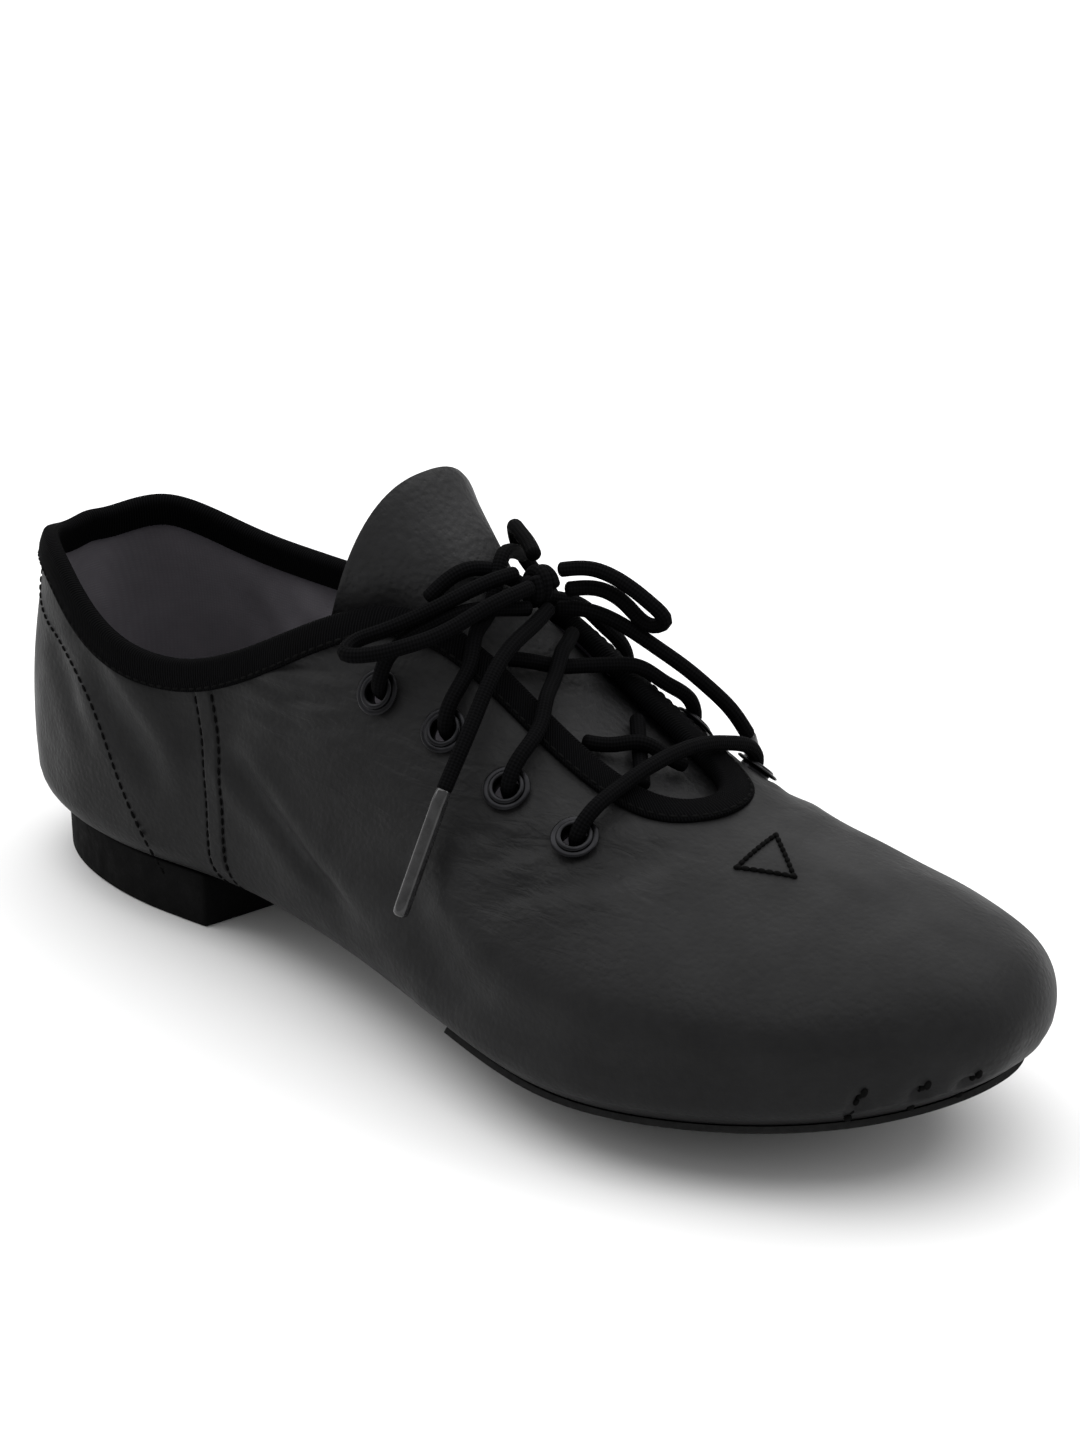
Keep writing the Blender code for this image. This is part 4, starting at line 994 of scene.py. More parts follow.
def tongue_point(x, off, lift):
    """Point over the tongue's face, off sideways from its crown and lifted along its normal."""
    crown, down, half, arch = tongue_row(x)

    def face(across):
        share = min(abs(across) / half, 1.0)
        return crown + Vector((0, across, 0)) + down * arch * droop(share)

    near, far = max(off - 0.0002, -half), min(off + 0.0002, half)
    ahead = (tongue_crown(x + 0.001) - tongue_crown(x - 0.001)).normalized()
    normal = ahead.cross(face(far) - face(near)).normalized()
    return face(off) + normal * lift


def on_tongue(x, y, lift):
    """Point lifted off the tongue's face over a place in plan."""
    low, high = x - 0.004, x + 0.02
    for _ in range(24):
        row = (low + high) / 2
        point = tongue_point(row, y - tongue_row(row)[0].y, lift + LACE_DIAMETER / 2)
        low, high = (row, high) if point.x < x else (low, row)
    return point


def under_edge(x, side, lift):
    """Where a strand goes in beside the throat's edge, low on the tongue."""
    room = WALL + 6 * CLEARANCE + BINDING_THICKNESS + LACE_DIAMETER / 2
    return on_tongue(x, ribs(COARSE_RIBS).rim_y(x, side) - side * room, lift)


def resting(start, end, shares, lift):
    """Points of a strand drawn from start to end, over the tongue where that stands higher."""
    points = []
    for share in shares:
        point = start.lerp(end, share)
        point.z = max(point.z, on_tongue(point.x, point.y, lift).z)
        points.append(point)
    return points


def out_of_eyelet(row, side, towards):
    """Points of a strand from under the leather up through its eyelet and over the ring."""
    x, y = eyelet_place(row, side)
    centre, axis = lifted(x, y, 0.0)
    ring = CLEARANCE + EYELET_BOW + EYELET_RIM
    away = towards - centre
    away = (away - axis * away.dot(axis)).normalized()
    return [centre - axis * 0.0052, centre - axis * 0.0018 + away * 0.0002,
            centre + axis * 0.0008 + away * 0.0007,
            centre + axis * (ring + LACE_DIAMETER / 2 - 0.0003) + away * 0.0032]


def over_edge(row, side, ahead=0.0):
    """A strand out of its eyelet and over the bound edge beside it."""
    height = 3 * CLEARANCE + BINDING_THICKNESS + LACE_DIAMETER / 2
    points = []
    for share, out in ((0.45, 0.75), (1.0, -0.1)):
        place = EYELET_FIRST + (row - ahead * share) * EYELET_PITCH
        y = ribs(COARSE_RIBS).rim_y(place, side) + side * out * BINDING_WIDTH
        points.append(lifted(place, y, height)[0])
    return out_of_eyelet(row, side, points[0]) + points


def crossing_strand(row, side):
    """From an eyelet over the near edge and the tongue to under the far edge, one eyelet up."""
    points = over_edge(row, side, 0.3)
    lift = 5 * CLEARANCE
    end = under_edge(EYELET_FIRST + (row - 1) * EYELET_PITCH, -side, lift)
    points += resting(points[-1], end, (0.3, 0.55, 0.8), lift) + [end]
    return smooth_route(points, ROUTE_STEP)


def inside_strand(row, side):
    """From under one edge across the tongue to under the other, one eyelet up."""
    x = EYELET_FIRST + row * EYELET_PITCH
    lift = 2 * CLEARANCE
    start = under_edge(x - 0.1 * EYELET_PITCH, side, lift)
    end = under_edge(x - 0.9 * EYELET_PITCH, -side, lift)
    return smooth_route([start, *resting(start, end, (0.25, 0.5, 0.75), lift), end], ROUTE_STEP)


def weave(under, over, drop):
    """Part two strands where they cross, so that one lies on the other."""
    gap = np.linalg.norm(under[:, None, :2] - over[None, :, :2], axis=2)
    a, b = np.unravel_index(np.argmin(gap), gap.shape)
    apart = LACE_DIAMETER * 0.96 - (over[b, 2] - under[a, 2])
    for strand, at, rise in ((under, a, -drop), (over, b, apart - drop)):
        off = np.linalg.norm(strand - strand[at], axis=1)
        strand[:, 2] += rise * np.exp(-((off / WEAVE_REACH) ** 2))
    return under, over


def tube(name, route, radius, material, sides=14, taper=None):
    """Round cord along a route, with rounded ends and a UV map of turn and length."""
    route = np.asarray(route, float)
    along = unit(np.gradient(route, axis=0))
    across = np.empty_like(along)
    across[0] = unit(np.cross(along[0], (0.31, 0.17, 0.93)))
    for i in range(1, len(route)):
        across[i] = unit(across[i - 1] - along[i] * (across[i - 1] @ along[i]))
    up = np.cross(along, across)
    reach_to = np.concatenate([[0], np.cumsum(np.linalg.norm(np.diff(route, axis=0), axis=1))])
    width = np.full(len(route), radius)
    if taper is not None:
        width = width * taper(reach_to / reach_to[-1])
    rings = []
    caps = ((-0.95, 0.30), (-0.75, 0.66), (-0.38, 0.92))
    for back, share in caps:
        rings.append((route[0] + along[0] * back * radius * 0.6, across[0], up[0], width[0] * share,
                      reach_to[0]))
    rings += list(zip(route, across, up, width, reach_to))
    for back, share in caps[::-1]:
        rings.append((route[-1] - along[-1] * back * radius * 0.6, across[-1], up[-1], width[-1] * share,
                      reach_to[-1]))
    turn = np.linspace(0, 2 * math.pi, sides, endpoint=False)
    points = [c + (a * math.cos(t) + u * math.sin(t)) * w for c, a, u, w, _ in rings for t in turn]
    faces, uv = [], []
    for r in range(len(rings) - 1):
        for s in range(sides):
            t = (s + 1) % sides
            faces.append((r * sides + s, r * sides + t, (r + 1) * sides + t, (r + 1) * sides + s))
            low, high = rings[r][4] / (2 * radius), rings[r + 1][4] / (2 * radius)
            uv += [(s / sides, low), ((s + 1) / sides, low), ((s + 1) / sides, high), (s / sides, high)]
    for end, ring in ((0, 0), (1, len(rings) - 1)):
        loop = [ring * sides + s for s in range(sides)]
        faces.append(tuple(loop[::-1] if end == 0 else loop))
        uv += [(0.5, rings[ring][4] / (2 * radius))] * sides
    mesh = bpy.data.meshes.new(name)
    mesh.from_pydata([tuple(map(float, p + np.array(SHIFT))) for p in points], [], faces)
    mesh.uv_layers.new(name="UVMap").data.foreach_set("uv", np.array(uv, np.float32).ravel())
    clean(mesh)
    mesh.materials.append(material)
    mesh.shade_smooth()
    return linked(name, mesh)


def joined(name, parts):
    """Several objects' meshes as one object."""
    work = bmesh.new()
    work.loops.layers.uv.new("UVMap")
    for part in parts:
        work.from_mesh(part.data)
    mesh = bpy.data.meshes.new(name)
    work.to_mesh(mesh)
    work.free()
    for material in parts[0].data.materials:
        mesh.materials.append(material)
    for part in parts:
        bpy.data.objects.remove(part, do_unlink=True)
    mesh.shade_smooth()
    return linked(name, mesh)


# Leather's surface
def line_distance(points, line, side):
    """Distance of each point to a line, less strict across the shoe, with the share along the line."""
    squash = np.array([1.0, 0.35, 1.0])
    line = np.array(line) * squash
    near, share = np.full(len(points), 1.0), np.zeros(len(points))
    steps = np.linalg.norm(np.diff(line, axis=0), axis=1)
    total, start = steps.sum(), 0.0
    held = points * squash
    for a, b, step in zip(line[:-1], line[1:], steps):
        t = np.clip(((held - a) @ (b - a)) / step**2, 0, 1)
        off = np.linalg.norm(held - a - t[:, None] * (b - a), axis=1)
        closer = off < near
        near[closer] = off[closer]
        share[closer] = (start + t[closer] * step) / total
        start += step
    near[np.sign(points[:, 1] - section(points[:, 0])["middle"]) != side] = 1.0
    return near, share


def crease_depth(points):
    """How far each point of the leather lies under its smooth surface."""
    depth = np.zeros(len(points))
    for half_width, deep, line in CREASES.values():
        for side, amount in ((-1, 1.0), (1, INNER_CREASES)):
            route = line if side < 0 else [(x + 0.003, -y, z) for x, y, z in line]
            off, share = line_distance(points, route, side)
            ends = np.clip(np.sin(math.pi * np.clip(share, 0.02, 0.98)) * 1.6, 0, 1)
            away = off / half_width
            trough = np.exp(-(away**2)) - 0.35 * np.exp(-((away - 1.9) ** 2))
            depth += deep * amount * trough * ends
    return depth


def soft_swell(points):
    """Slow swell of soft leather, up to a third of a millimetre either way."""
    x, y, z = points.T
    swell = np.sin(113 * x + 60 * z + 1.0) * np.sin(95 * z - 40 * y + 0.4)
    swell += 0.6 * np.sin(210 * x - 130 * z + 2.0) * np.sin(170 * y + 90 * x)
    return SWELL * swell


def wrinkle_marks(points):
    """Where the leather has fine wrinkles, from 0 to 1."""
    spots = ((0.160, -0.031, 0.048, 0.017), (0.147, -0.030, 0.056, 0.014), (0.096, -0.026, 0.062, 0.014),
             (0.172, -0.018, 0.052, 0.014), (0.122, -0.030, 0.058, 0.014), (0.150, 0.030, 0.050, 0.020))
    mark = np.full(len(points), 0.07)
    for x, y, z, size in spots:
        mark += 0.8 * np.exp(-(((points - (x, y, z)) / size) ** 2).sum(axis=1))
    return np.clip(mark, 0, 1)


def foot_rows(shape):
    """Rows under the foot that insole, sole and heel share, from the heel's outline to the middle."""
    window = HEEL_INSET + LASTING_MARGIN
    rows = [shape.under_foot(HEEL_INSET + LASTING_MARGIN * share) for share in (0, 0.35, 0.7, 1)]
    return rows + [shape.to_middle(window, share) for share in (0.2, 0.4, 0.6, 0.8, 1.0)]


def stack(rows):
    return np.concatenate([p for p, _ in rows]), np.concatenate([n for _, n in rows])


def between(shape, low, high):
    """Test of whether the strip after a rib lies between two rib orders."""
    orders = shape.loop

    def test(row, i, j):
        return low - 0.002 <= min(orders[i], orders[j]) and max(orders[i], orders[j]) <= high + 0.002

    return test


def add_point_values(mesh, name, values):
    mesh.attributes.new(name, "FLOAT", "POINT").data.foreach_set("value", np.asarray(values, np.float32))


class JazzShoeSizes(bpy.types.PropertyGroup):
    """Sizes of the finish that a user may change."""

    ribs_per_side: IntProperty(name="Ribs per side", default=205, min=60, max=260,
                               description="How fine the leather's mesh is round the shoe")
    wall_rows: IntProperty(name="Wall rows", default=66, min=20, max=90,
                           description="How fine the leather's mesh is from rim to widest line")
    grain_depth: FloatProperty(name="Grain depth", description="Depth of the leather's pebbled grain",
                               default=0.00018, min=0, max=0.001, unit="LENGTH", precision=5)
    crease_scale: FloatProperty(name="Crease depth", description="Share of the creases' own depth",
                                default=1.3, min=0, max=2, subtype="FACTOR")
    stitch_pitch: FloatProperty(name="Stitch pitch", description="Distance from one stitch to the next",
                                default=0.0021, min=0.001, max=0.006, unit="LENGTH", precision=4)
    thread_width: FloatProperty(name="Thread width", description="Thickness of the sewing thread",
                                default=0.00058, min=0.0002, max=0.001, unit="LENGTH", precision=5)
    floor_size: FloatProperty(name="Floor size", description="Side of the square floor", default=14.0, min=2,
                              max=30, unit="LENGTH")


class JazzShoeColours(bpy.types.PropertyGroup):
    """Colours of the pieces, as linear values."""

    leather: FloatVectorProperty(name="Leather", description="Upper and tongue", subtype="COLOR", size=3,
                                 default=(0.0090, 0.0090, 0.0093), min=0, max=1)
    lining: FloatVectorProperty(name="Lining", description="Inside of the upper and the insole",
                                subtype="COLOR", size=3, default=(0.120, 0.113, 0.126), min=0, max=1)
    ribbon: FloatVectorProperty(name="Ribbon", description="Binding of collar and throat", subtype="COLOR",
                                size=3, default=(0.0019, 0.0019, 0.0021), min=0, max=1)
    rubber: FloatVectorProperty(name="Rubber", description="Heel", subtype="COLOR", size=3,
                                default=(0.0036, 0.0036, 0.0037), min=0, max=1)
    suede: FloatVectorProperty(name="Suede", description="Forefoot sole", subtype="COLOR", size=3,
                               default=(0.016, 0.016, 0.016), min=0, max=1)
    enamel: FloatVectorProperty(name="Enamel", description="Eyelets", subtype="COLOR", size=3,
                                default=(0.012, 0.012, 0.013), min=0, max=1)
    cord: FloatVectorProperty(name="Cord", description="Laces", subtype="COLOR", size=3,
                              default=(0.0019, 0.0019, 0.0021), min=0, max=1)
    tip: FloatVectorProperty(name="Tip", description="Film over the laces' ends", subtype="COLOR", size=3,
                             default=(0.016, 0.016, 0.0165), min=0, max=1)
    thread: FloatVectorProperty(name="Thread", description="Seams", subtype="COLOR", size=3,
                                default=(0.0030, 0.0030, 0.0030), min=0, max=1)
    floor: FloatVectorProperty(name="Floor", description="Floor under the shoe", subtype="COLOR", size=3,
                               default=(0.68, 0.68, 0.68), min=0, max=1)


def sizes():
    return bpy.context.scene.jazz_shoe_sizes


def colour(name):
    return tuple(getattr(bpy.context.scene.jazz_shoe_colours, name))


@functools.lru_cache(maxsize=None)
def finish(name):
    """Each finish is made once and shared."""
    makers = {
        "leather": lambda: leather_finish("Soft leather", colour("leather"), sizes().grain_depth),
        "tongue": lambda: leather_finish("Tongue leather", shade(colour("leather"), 2.0),
                                         sizes().grain_depth * 3.0, pebble=820.0),
        "lining": lambda: lining_finish(colour("lining")),
        "ribbon": lambda: ribbon_finish(colour("ribbon")),
        "rubber": lambda: rubber_finish(colour("rubber")),
        "suede": lambda: suede_finish(colour("suede")),
        "enamel": lambda: enamel_finish(colour("enamel")),
        "cord": lambda: cord_finish(colour("cord")),
        "tip": lambda: tip_finish(colour("tip")),
        "thread": lambda: thread_finish("Dark thread", colour("thread")),
        "floor": lambda: floor_finish(colour("floor")),
    }
    return makers[name]()


class UpperOperator(bpy.types.Operator):
    """Build the leather upper with its lining, creases, raised side seam and eyelet holes"""

    bl_idname = "jazz_shoe.upper"
    bl_label = "Upper"

    def execute(self, context):
        shape = ribs(sizes().ribs_per_side, SEAM_STEP)
        count = sizes().wall_rows
        rows = [shape.from_rim(BINDING_WIDTH * share) for share in RIM_ROWS]
        rows += [shape.down_wall(BINDING_WIDTH, (k + 1) / count) for k in range(count)]
        rows += [shape.under_foot(inset) for inset in TURNED_ROWS]
        rows += foot_rows(shape)
        total = len(rows)
        outside, inside = self.surfaces(shape, *stack(rows), total)
        points, faces = two_layers(outside, inside, band_faces(total, len(shape.loop)))
        skin = (total - 1) * len(shape.loop)
        groups = np.zeros(len(faces), int)
        groups[skin:2 * skin] = 1
        made = piece("upper_leather", points, faces, [finish("leather"), finish("lining")], smooth=60,
                     merge=MERGE_DISTANCE, groups=groups)
        self.punch_holes(made)
        place = np.empty(len(made.data.vertices) * 3, np.float32)
        made.data.vertices.foreach_get("co", place)
        add_point_values(made.data, "wrinkle", wrinkle_marks(place.reshape(-1, 3) - np.array(SHIFT)))
        settle(made, "leather", "upper")
        return {"FINISHED"}

    def surfaces(self, shape, points, normals, total):
        """Outer and inner surface of the leather, with its seam, swell and creases."""
        turned = len(RIM_ROWS) + sizes().wall_rows
        off = np.abs(shape.rim_x - SEAM_PLACE)
        plateau = np.clip((SEAM_WIDTH / 2 + PLATEAU_OVERLAP - off) / PLATEAU_EDGE, 0, 1) * PLATEAU_RISE
        groove = GROOVE_DEPTH * np.exp(-(((off - SEAM_WIDTH / 2) / GROOVE_WIDTH) ** 2))
        fade = np.ones(total)
        fade[:len(RIM_ROWS)] = RIM_SEAM
        fade[turned + TURNED_SEAM_ROWS:] = 0
        rise = (fade[:, None] * (plateau - groove)[None, :]).ravel()
        calm = np.ones(total)
        calm[:len(RIM_ROWS)] = RIM_SWELL
        calm[turned + TURNED_SWELL_ROWS:] = 0
        calm = np.repeat(calm, len(shape.loop))
        moved = (soft_swell(points) - crease_depth(points) * sizes().crease_scale) * calm
        outside = points + normals * (rise + moved)[:, None]
        past = (shape.rim_x - SEAM_PLACE - LINING_SEAM_OFFSET) / LINING_SEAM_WIDTH
        lining_seam = LINING_SEAM_DEPTH * np.exp(-(past**2)) * (shape.side > 0)
        dent = (fade[:, None] * lining_seam[None, :]).ravel()
        inside = points + normals * (moved * 0.7 - WALL + dent)[:, None]
        return outside, inside

    def punch_holes(self, made):
        """Cut the eyelets' holes, and shade the leather anew."""
        punch = self.punch()
        cut = made.modifiers.new("eyelet holes", "BOOLEAN")
        cut.operation, cut.solver, cut.object = "DIFFERENCE", "EXACT", punch
        apply_modifiers(made)
        bpy.data.objects.remove(punch, do_unlink=True)
        shade_smoothly(made.data, 60)

    def punch(self):
        """Round punches through the leather, one at each eyelet."""
        work = bmesh.new()
        for row in range(EYELET_ROWS):
            for side in (-1, 1):
                centre, axis = lifted(*eyelet_place(row, side), 0.0)
                matrix = axis.to_track_quat("Z", "Y").to_matrix().to_4x4()
                matrix.translation = centre + SHIFT
                radius = EYELET_BARREL + CLEARANCE
                bmesh.ops.create_cone(work, cap_ends=True, segments=24, radius1=radius, radius2=radius,
                                      depth=6 * WALL, matrix=matrix)
        mesh = bpy.data.meshes.new("eyelet_punch")
        work.to_mesh(mesh)
        work.free()
        mesh.materials.append(finish("leather"))
        return linked("eyelet_punch", mesh)


class BindingOperator(bpy.types.Operator):
    """Fold the ribbed ribbon over the rim of collar and throat"""

    bl_idname = "jazz_shoe.binding"
    bl_label = "Binding"

    def profile(self, shape):
        """Rows of points round the folded ribbon, and each row's place across it."""
        near, far = CLEARANCE, CLEARANCE + BINDING_THICKNESS
        rim, rim_normal = shape.from_rim(0.0)
        over = shape.over
        out = [(shape.from_rim(BINDING_WIDTH * share), share) for share in (1.0, 0.97, 0.72, 0.45, 0.2, 0.0)]
        ring, across = [], []
        for (place, normal), share in out:
            puff = far + BINDING_PUFF * math.sin(math.pi * (1 - share)) - (0.0004 if share == 1.0 else 0.0)
            ring.append(place + normal * puff)
            across.append(share * BINDING_WIDTH)
        bow = WALL / 2 + far
        for turn in np.linspace(0, math.pi, 9)[1:-1]:
            ring.append(rim - rim_normal * WALL / 2 + rim_normal * bow * math.cos(turn)
                        + over * far * 1.5 * math.sin(turn))
            across.append(-bow * turn)
        for (place, normal), share in out[::-1]:
            ring.append(place - normal * (WALL + far - (0.0003 if share == 1.0 else 0.0)))
            across.append(-bow * math.pi - share * BINDING_WIDTH)
        # Rows that lie on the leather and aren't seen
        for (place, normal), share in (out[0], out[3], out[5]):
            ring.append(place - normal * (WALL + near))
            across.append(-0.015)
        ring.append(rim - rim_normal * WALL / 2 + over * near)
        across.append(-0.017)
        for (place, normal), share in (out[5], out[3], out[0]):
            ring.append(place + normal * near)
            across.append(-0.019)
        return ring, across

    def execute(self, context):
        shape = ribs(BINDING_RIBS)
        ring, across = self.profile(shape)
        rim = shape.wall[:, 0]
        count = len(rim)
        steps = np.linalg.norm(np.roll(rim, -1, axis=0) - rim, axis=1)
        along = np.concatenate([[0], np.cumsum(steps)])
        faces, uv = [], []
        for k in range(len(ring)):
            m = (k + 1) % len(ring)
            for i in range(count):
                j = (i + 1) % count
                faces.append((k * count + i, k * count + j, m * count + j, m * count + i))
                uv += [(along[i], across[k]), (along[i + 1], across[k]), (along[i + 1], across[m]),
                       (along[i], across[m])]
        mesh = bpy.data.meshes.new("binding_ribbon")
        mesh.from_pydata([tuple(map(float, p)) for p in np.concatenate(ring) + np.array(SHIFT)], [], faces)
        mesh.uv_layers.new(name="UVMap").data.foreach_set("uv", np.array(uv, np.float32).ravel())
        clean(mesh)
        mesh.materials.append(finish("ribbon"))
        shade_smoothly(mesh, 60)
        settle(linked("binding_ribbon", mesh), "ribbon", "binding")
        return {"FINISHED"}


class TongueOperator(bpy.types.Operator):
    """Build the grained leather tongue"""

    bl_idname = "jazz_shoe.tongue"
    bl_label = "Tongue"

    def hang(self, x, off):
        """How much further than the solid's the free end's sides hang into the collar."""
        way = (x - TONGUE_TOP) / (TONGUE_BASE - TONGUE_TOP)
        free = max(1 - way / TONGUE_FREE, 0.0) ** 2
        crown, down, half, arch = tongue_row(x)
        share = min(abs(off) / half, 1.0)
        drop = arch * droop(share)
        steep = down.lerp(TONGUE_HANG, free).normalized()
        return (steep * (1 + TONGUE_HANG_MORE * free) - down) * drop

    def execute(self, context):
        along, across = 76, 48
        face, back = [], []
        for i in range(along + 1):
            x = TONGUE_TOP + (TONGUE_BASE - TONGUE_TOP) * (i / along) ** 1.15
            half = tongue_row(x)[2]
            for k in range(across + 1):
                share = math.sin(math.pi * (k / across - 0.5))
                hang = self.hang(x, half * share)
                end = min(i / 3, 1.0)
                edge = math.sqrt(max(1 - share**16, 0.0)) * math.sqrt(1 - (1 - end) ** 2 * 0.85)
                middle = -TONGUE_THICKNESS / 2
                ripple = TONGUE_RIPPLE * math.sin(170 * x + 2.0) * math.cos(2.6 * share)
                thick = TONGUE_THICKNESS / 2 * max(edge, 0.25)
                face.append(tongue_point(x, half * share, middle + thick + ripple) + hang)
                back.append(tongue_point(x, half * share, middle - thick + ripple) + hang)
        faces = band_faces(along + 1, across + 1, closed=False)
        face, back = (np.array([tuple(p) for p in layer]) for layer in (face, back))
        points, faces = two_layers(face, back, faces)
        made = piece("tongue_leather", points, faces, [finish("tongue")], smooth=80)
        add_point_values(made.data, "wrinkle", np.full(len(made.data.vertices), 0.06))
        settle(made, "leather", "tongue")
        return {"FINISHED"}


class InsoleOperator(bpy.types.Operator):
    """Lay the lined insole inside the upper"""

    bl_idname = "jazz_shoe.insole"
    bl_label = "Insole"

    def execute(self, context):
        shape = ribs(COARSE_RIBS)
        points, normals = stack(foot_rows(shape))
        faces = band_faces(len(points) // len(shape.loop), len(shape.loop))
        low = points - normals * (WALL + CLEARANCE)
        high = points - normals * (WALL + CLEARANCE + INSOLE_THICKNESS)
        points, faces = two_layers(low, high, faces)
        made = piece("insole_cloth", points, faces, [finish("lining")], merge=MERGE_DISTANCE)
        settle(made, "lining", "insole")
        return {"FINISHED"}


class ForefootSoleOperator(bpy.types.Operator):
    """Build the thin suede patch under ball and toes"""

    bl_idname = "jazz_shoe.forefoot_sole"
    bl_label = "Forefoot sole"

    def execute(self, context):
        shape = ribs(COARSE_RIBS)
        edge = SOLE_INSET + SOLE_TUCK
        rows = [shape.under_foot(edge + (HEEL_INSET - edge) * share) for share in (0, 0.15, 0.4, 0.7)]
        points, normals = stack(rows + foot_rows(shape))
        count = len(shape.loop)
        faces = band_faces(len(points) // count, count, keep=between(shape, SOLE_START_RIB, 1.0))
        top = points + normals * CLEARANCE
        thick = np.full(len(points), SOLE_THICKNESS)
        thick[:count] = SOLE_THICKNESS * 0.3
        base = points + normals * (CLEARANCE + thick)[:, None]
        pressed = np.clip(1.25 - base[:, 2] / (4 * SOLE_PRESS), 0, 1)
        base[:, 2] = np.maximum(base[:, 2] - pressed * SOLE_PRESS, 0.0)
        points, faces = two_layers(base, top, faces)
        made = piece("forefoot_suede", points, faces, [finish("suede")], merge=MERGE_DISTANCE)
        settle(made, "suede", "forefoot_sole")
        return {"FINISHED"}


class HeelOperator(bpy.types.Operator):
    """Mould the low rubber heel with rounded edges"""

    bl_idname = "jazz_shoe.heel"
    bl_label = "Heel"

    def execute(self, context):
        shape = ribs(COARSE_RIBS)
        points, normals = stack(foot_rows(shape))
        count = len(shape.loop)
        faces = band_faces(len(points) // count, count, keep=between(shape, 0.0, HEEL_END_RIB))
        top = points + normals * CLEARANCE
        base = points.copy()
        inward = normals[:count].copy()
        inward[:, 2] = 0
        base[:count] -= inward * HEEL_TAPER
        base[:, 2] = 0.0
        points, faces = two_layers(base, top, faces)
        made = piece("heel_rubber", points, faces, [finish("rubber")], smooth=35, merge=MERGE_DISTANCE)
        edge = made.modifiers.new("rounded edges", "BEVEL")
        edge.limit_method, edge.angle_limit = "ANGLE", math.radians(50)
        edge.width, edge.segments = HEEL_ROUNDING, 3
        apply_modifiers(made)
        shade_smoothly(made.data, 50)
        settle(made, "rubber", "heel")
        return {"FINISHED"}


class EyeletsOperator(bpy.types.Operator):
    """Set four pairs of dark metal eyelets"""

    bl_idname = "jazz_shoe.eyelets"
    bl_label = "Eyelets"

    def execute(self, context):
        places = [lifted(*eyelet_place(row, side), 0.0) for row in range(EYELET_ROWS) for side in (-1, 1)]
        seat = CLEARANCE + EYELET_BOW
        points, outward = [p for p, _ in places], [tuple(n) for _, n in places]
        made = run_tree("eyelet_rings", points, [], outward, eyelet_tree(), {
            "Flange radius": EYELET_RADIUS - 0.0007, "Flange roundness": 0.0007,
            "Lip radius": EYELET_BARREL - 0.00005, "Lip roundness": 0.00055,
            "Seat": seat, "Depth": seat + WALL + CLEARANCE + EYELET_BOW + EYELET_RIM * 0.5,
            "Finish": finish("enamel")})
        settle(made, "gunmetal", *["eyelet_%s_%d" % (word, row + 1) for word in ("outer", "inner")
                                   for row in range(EYELET_ROWS)])
        return {"FINISHED"}


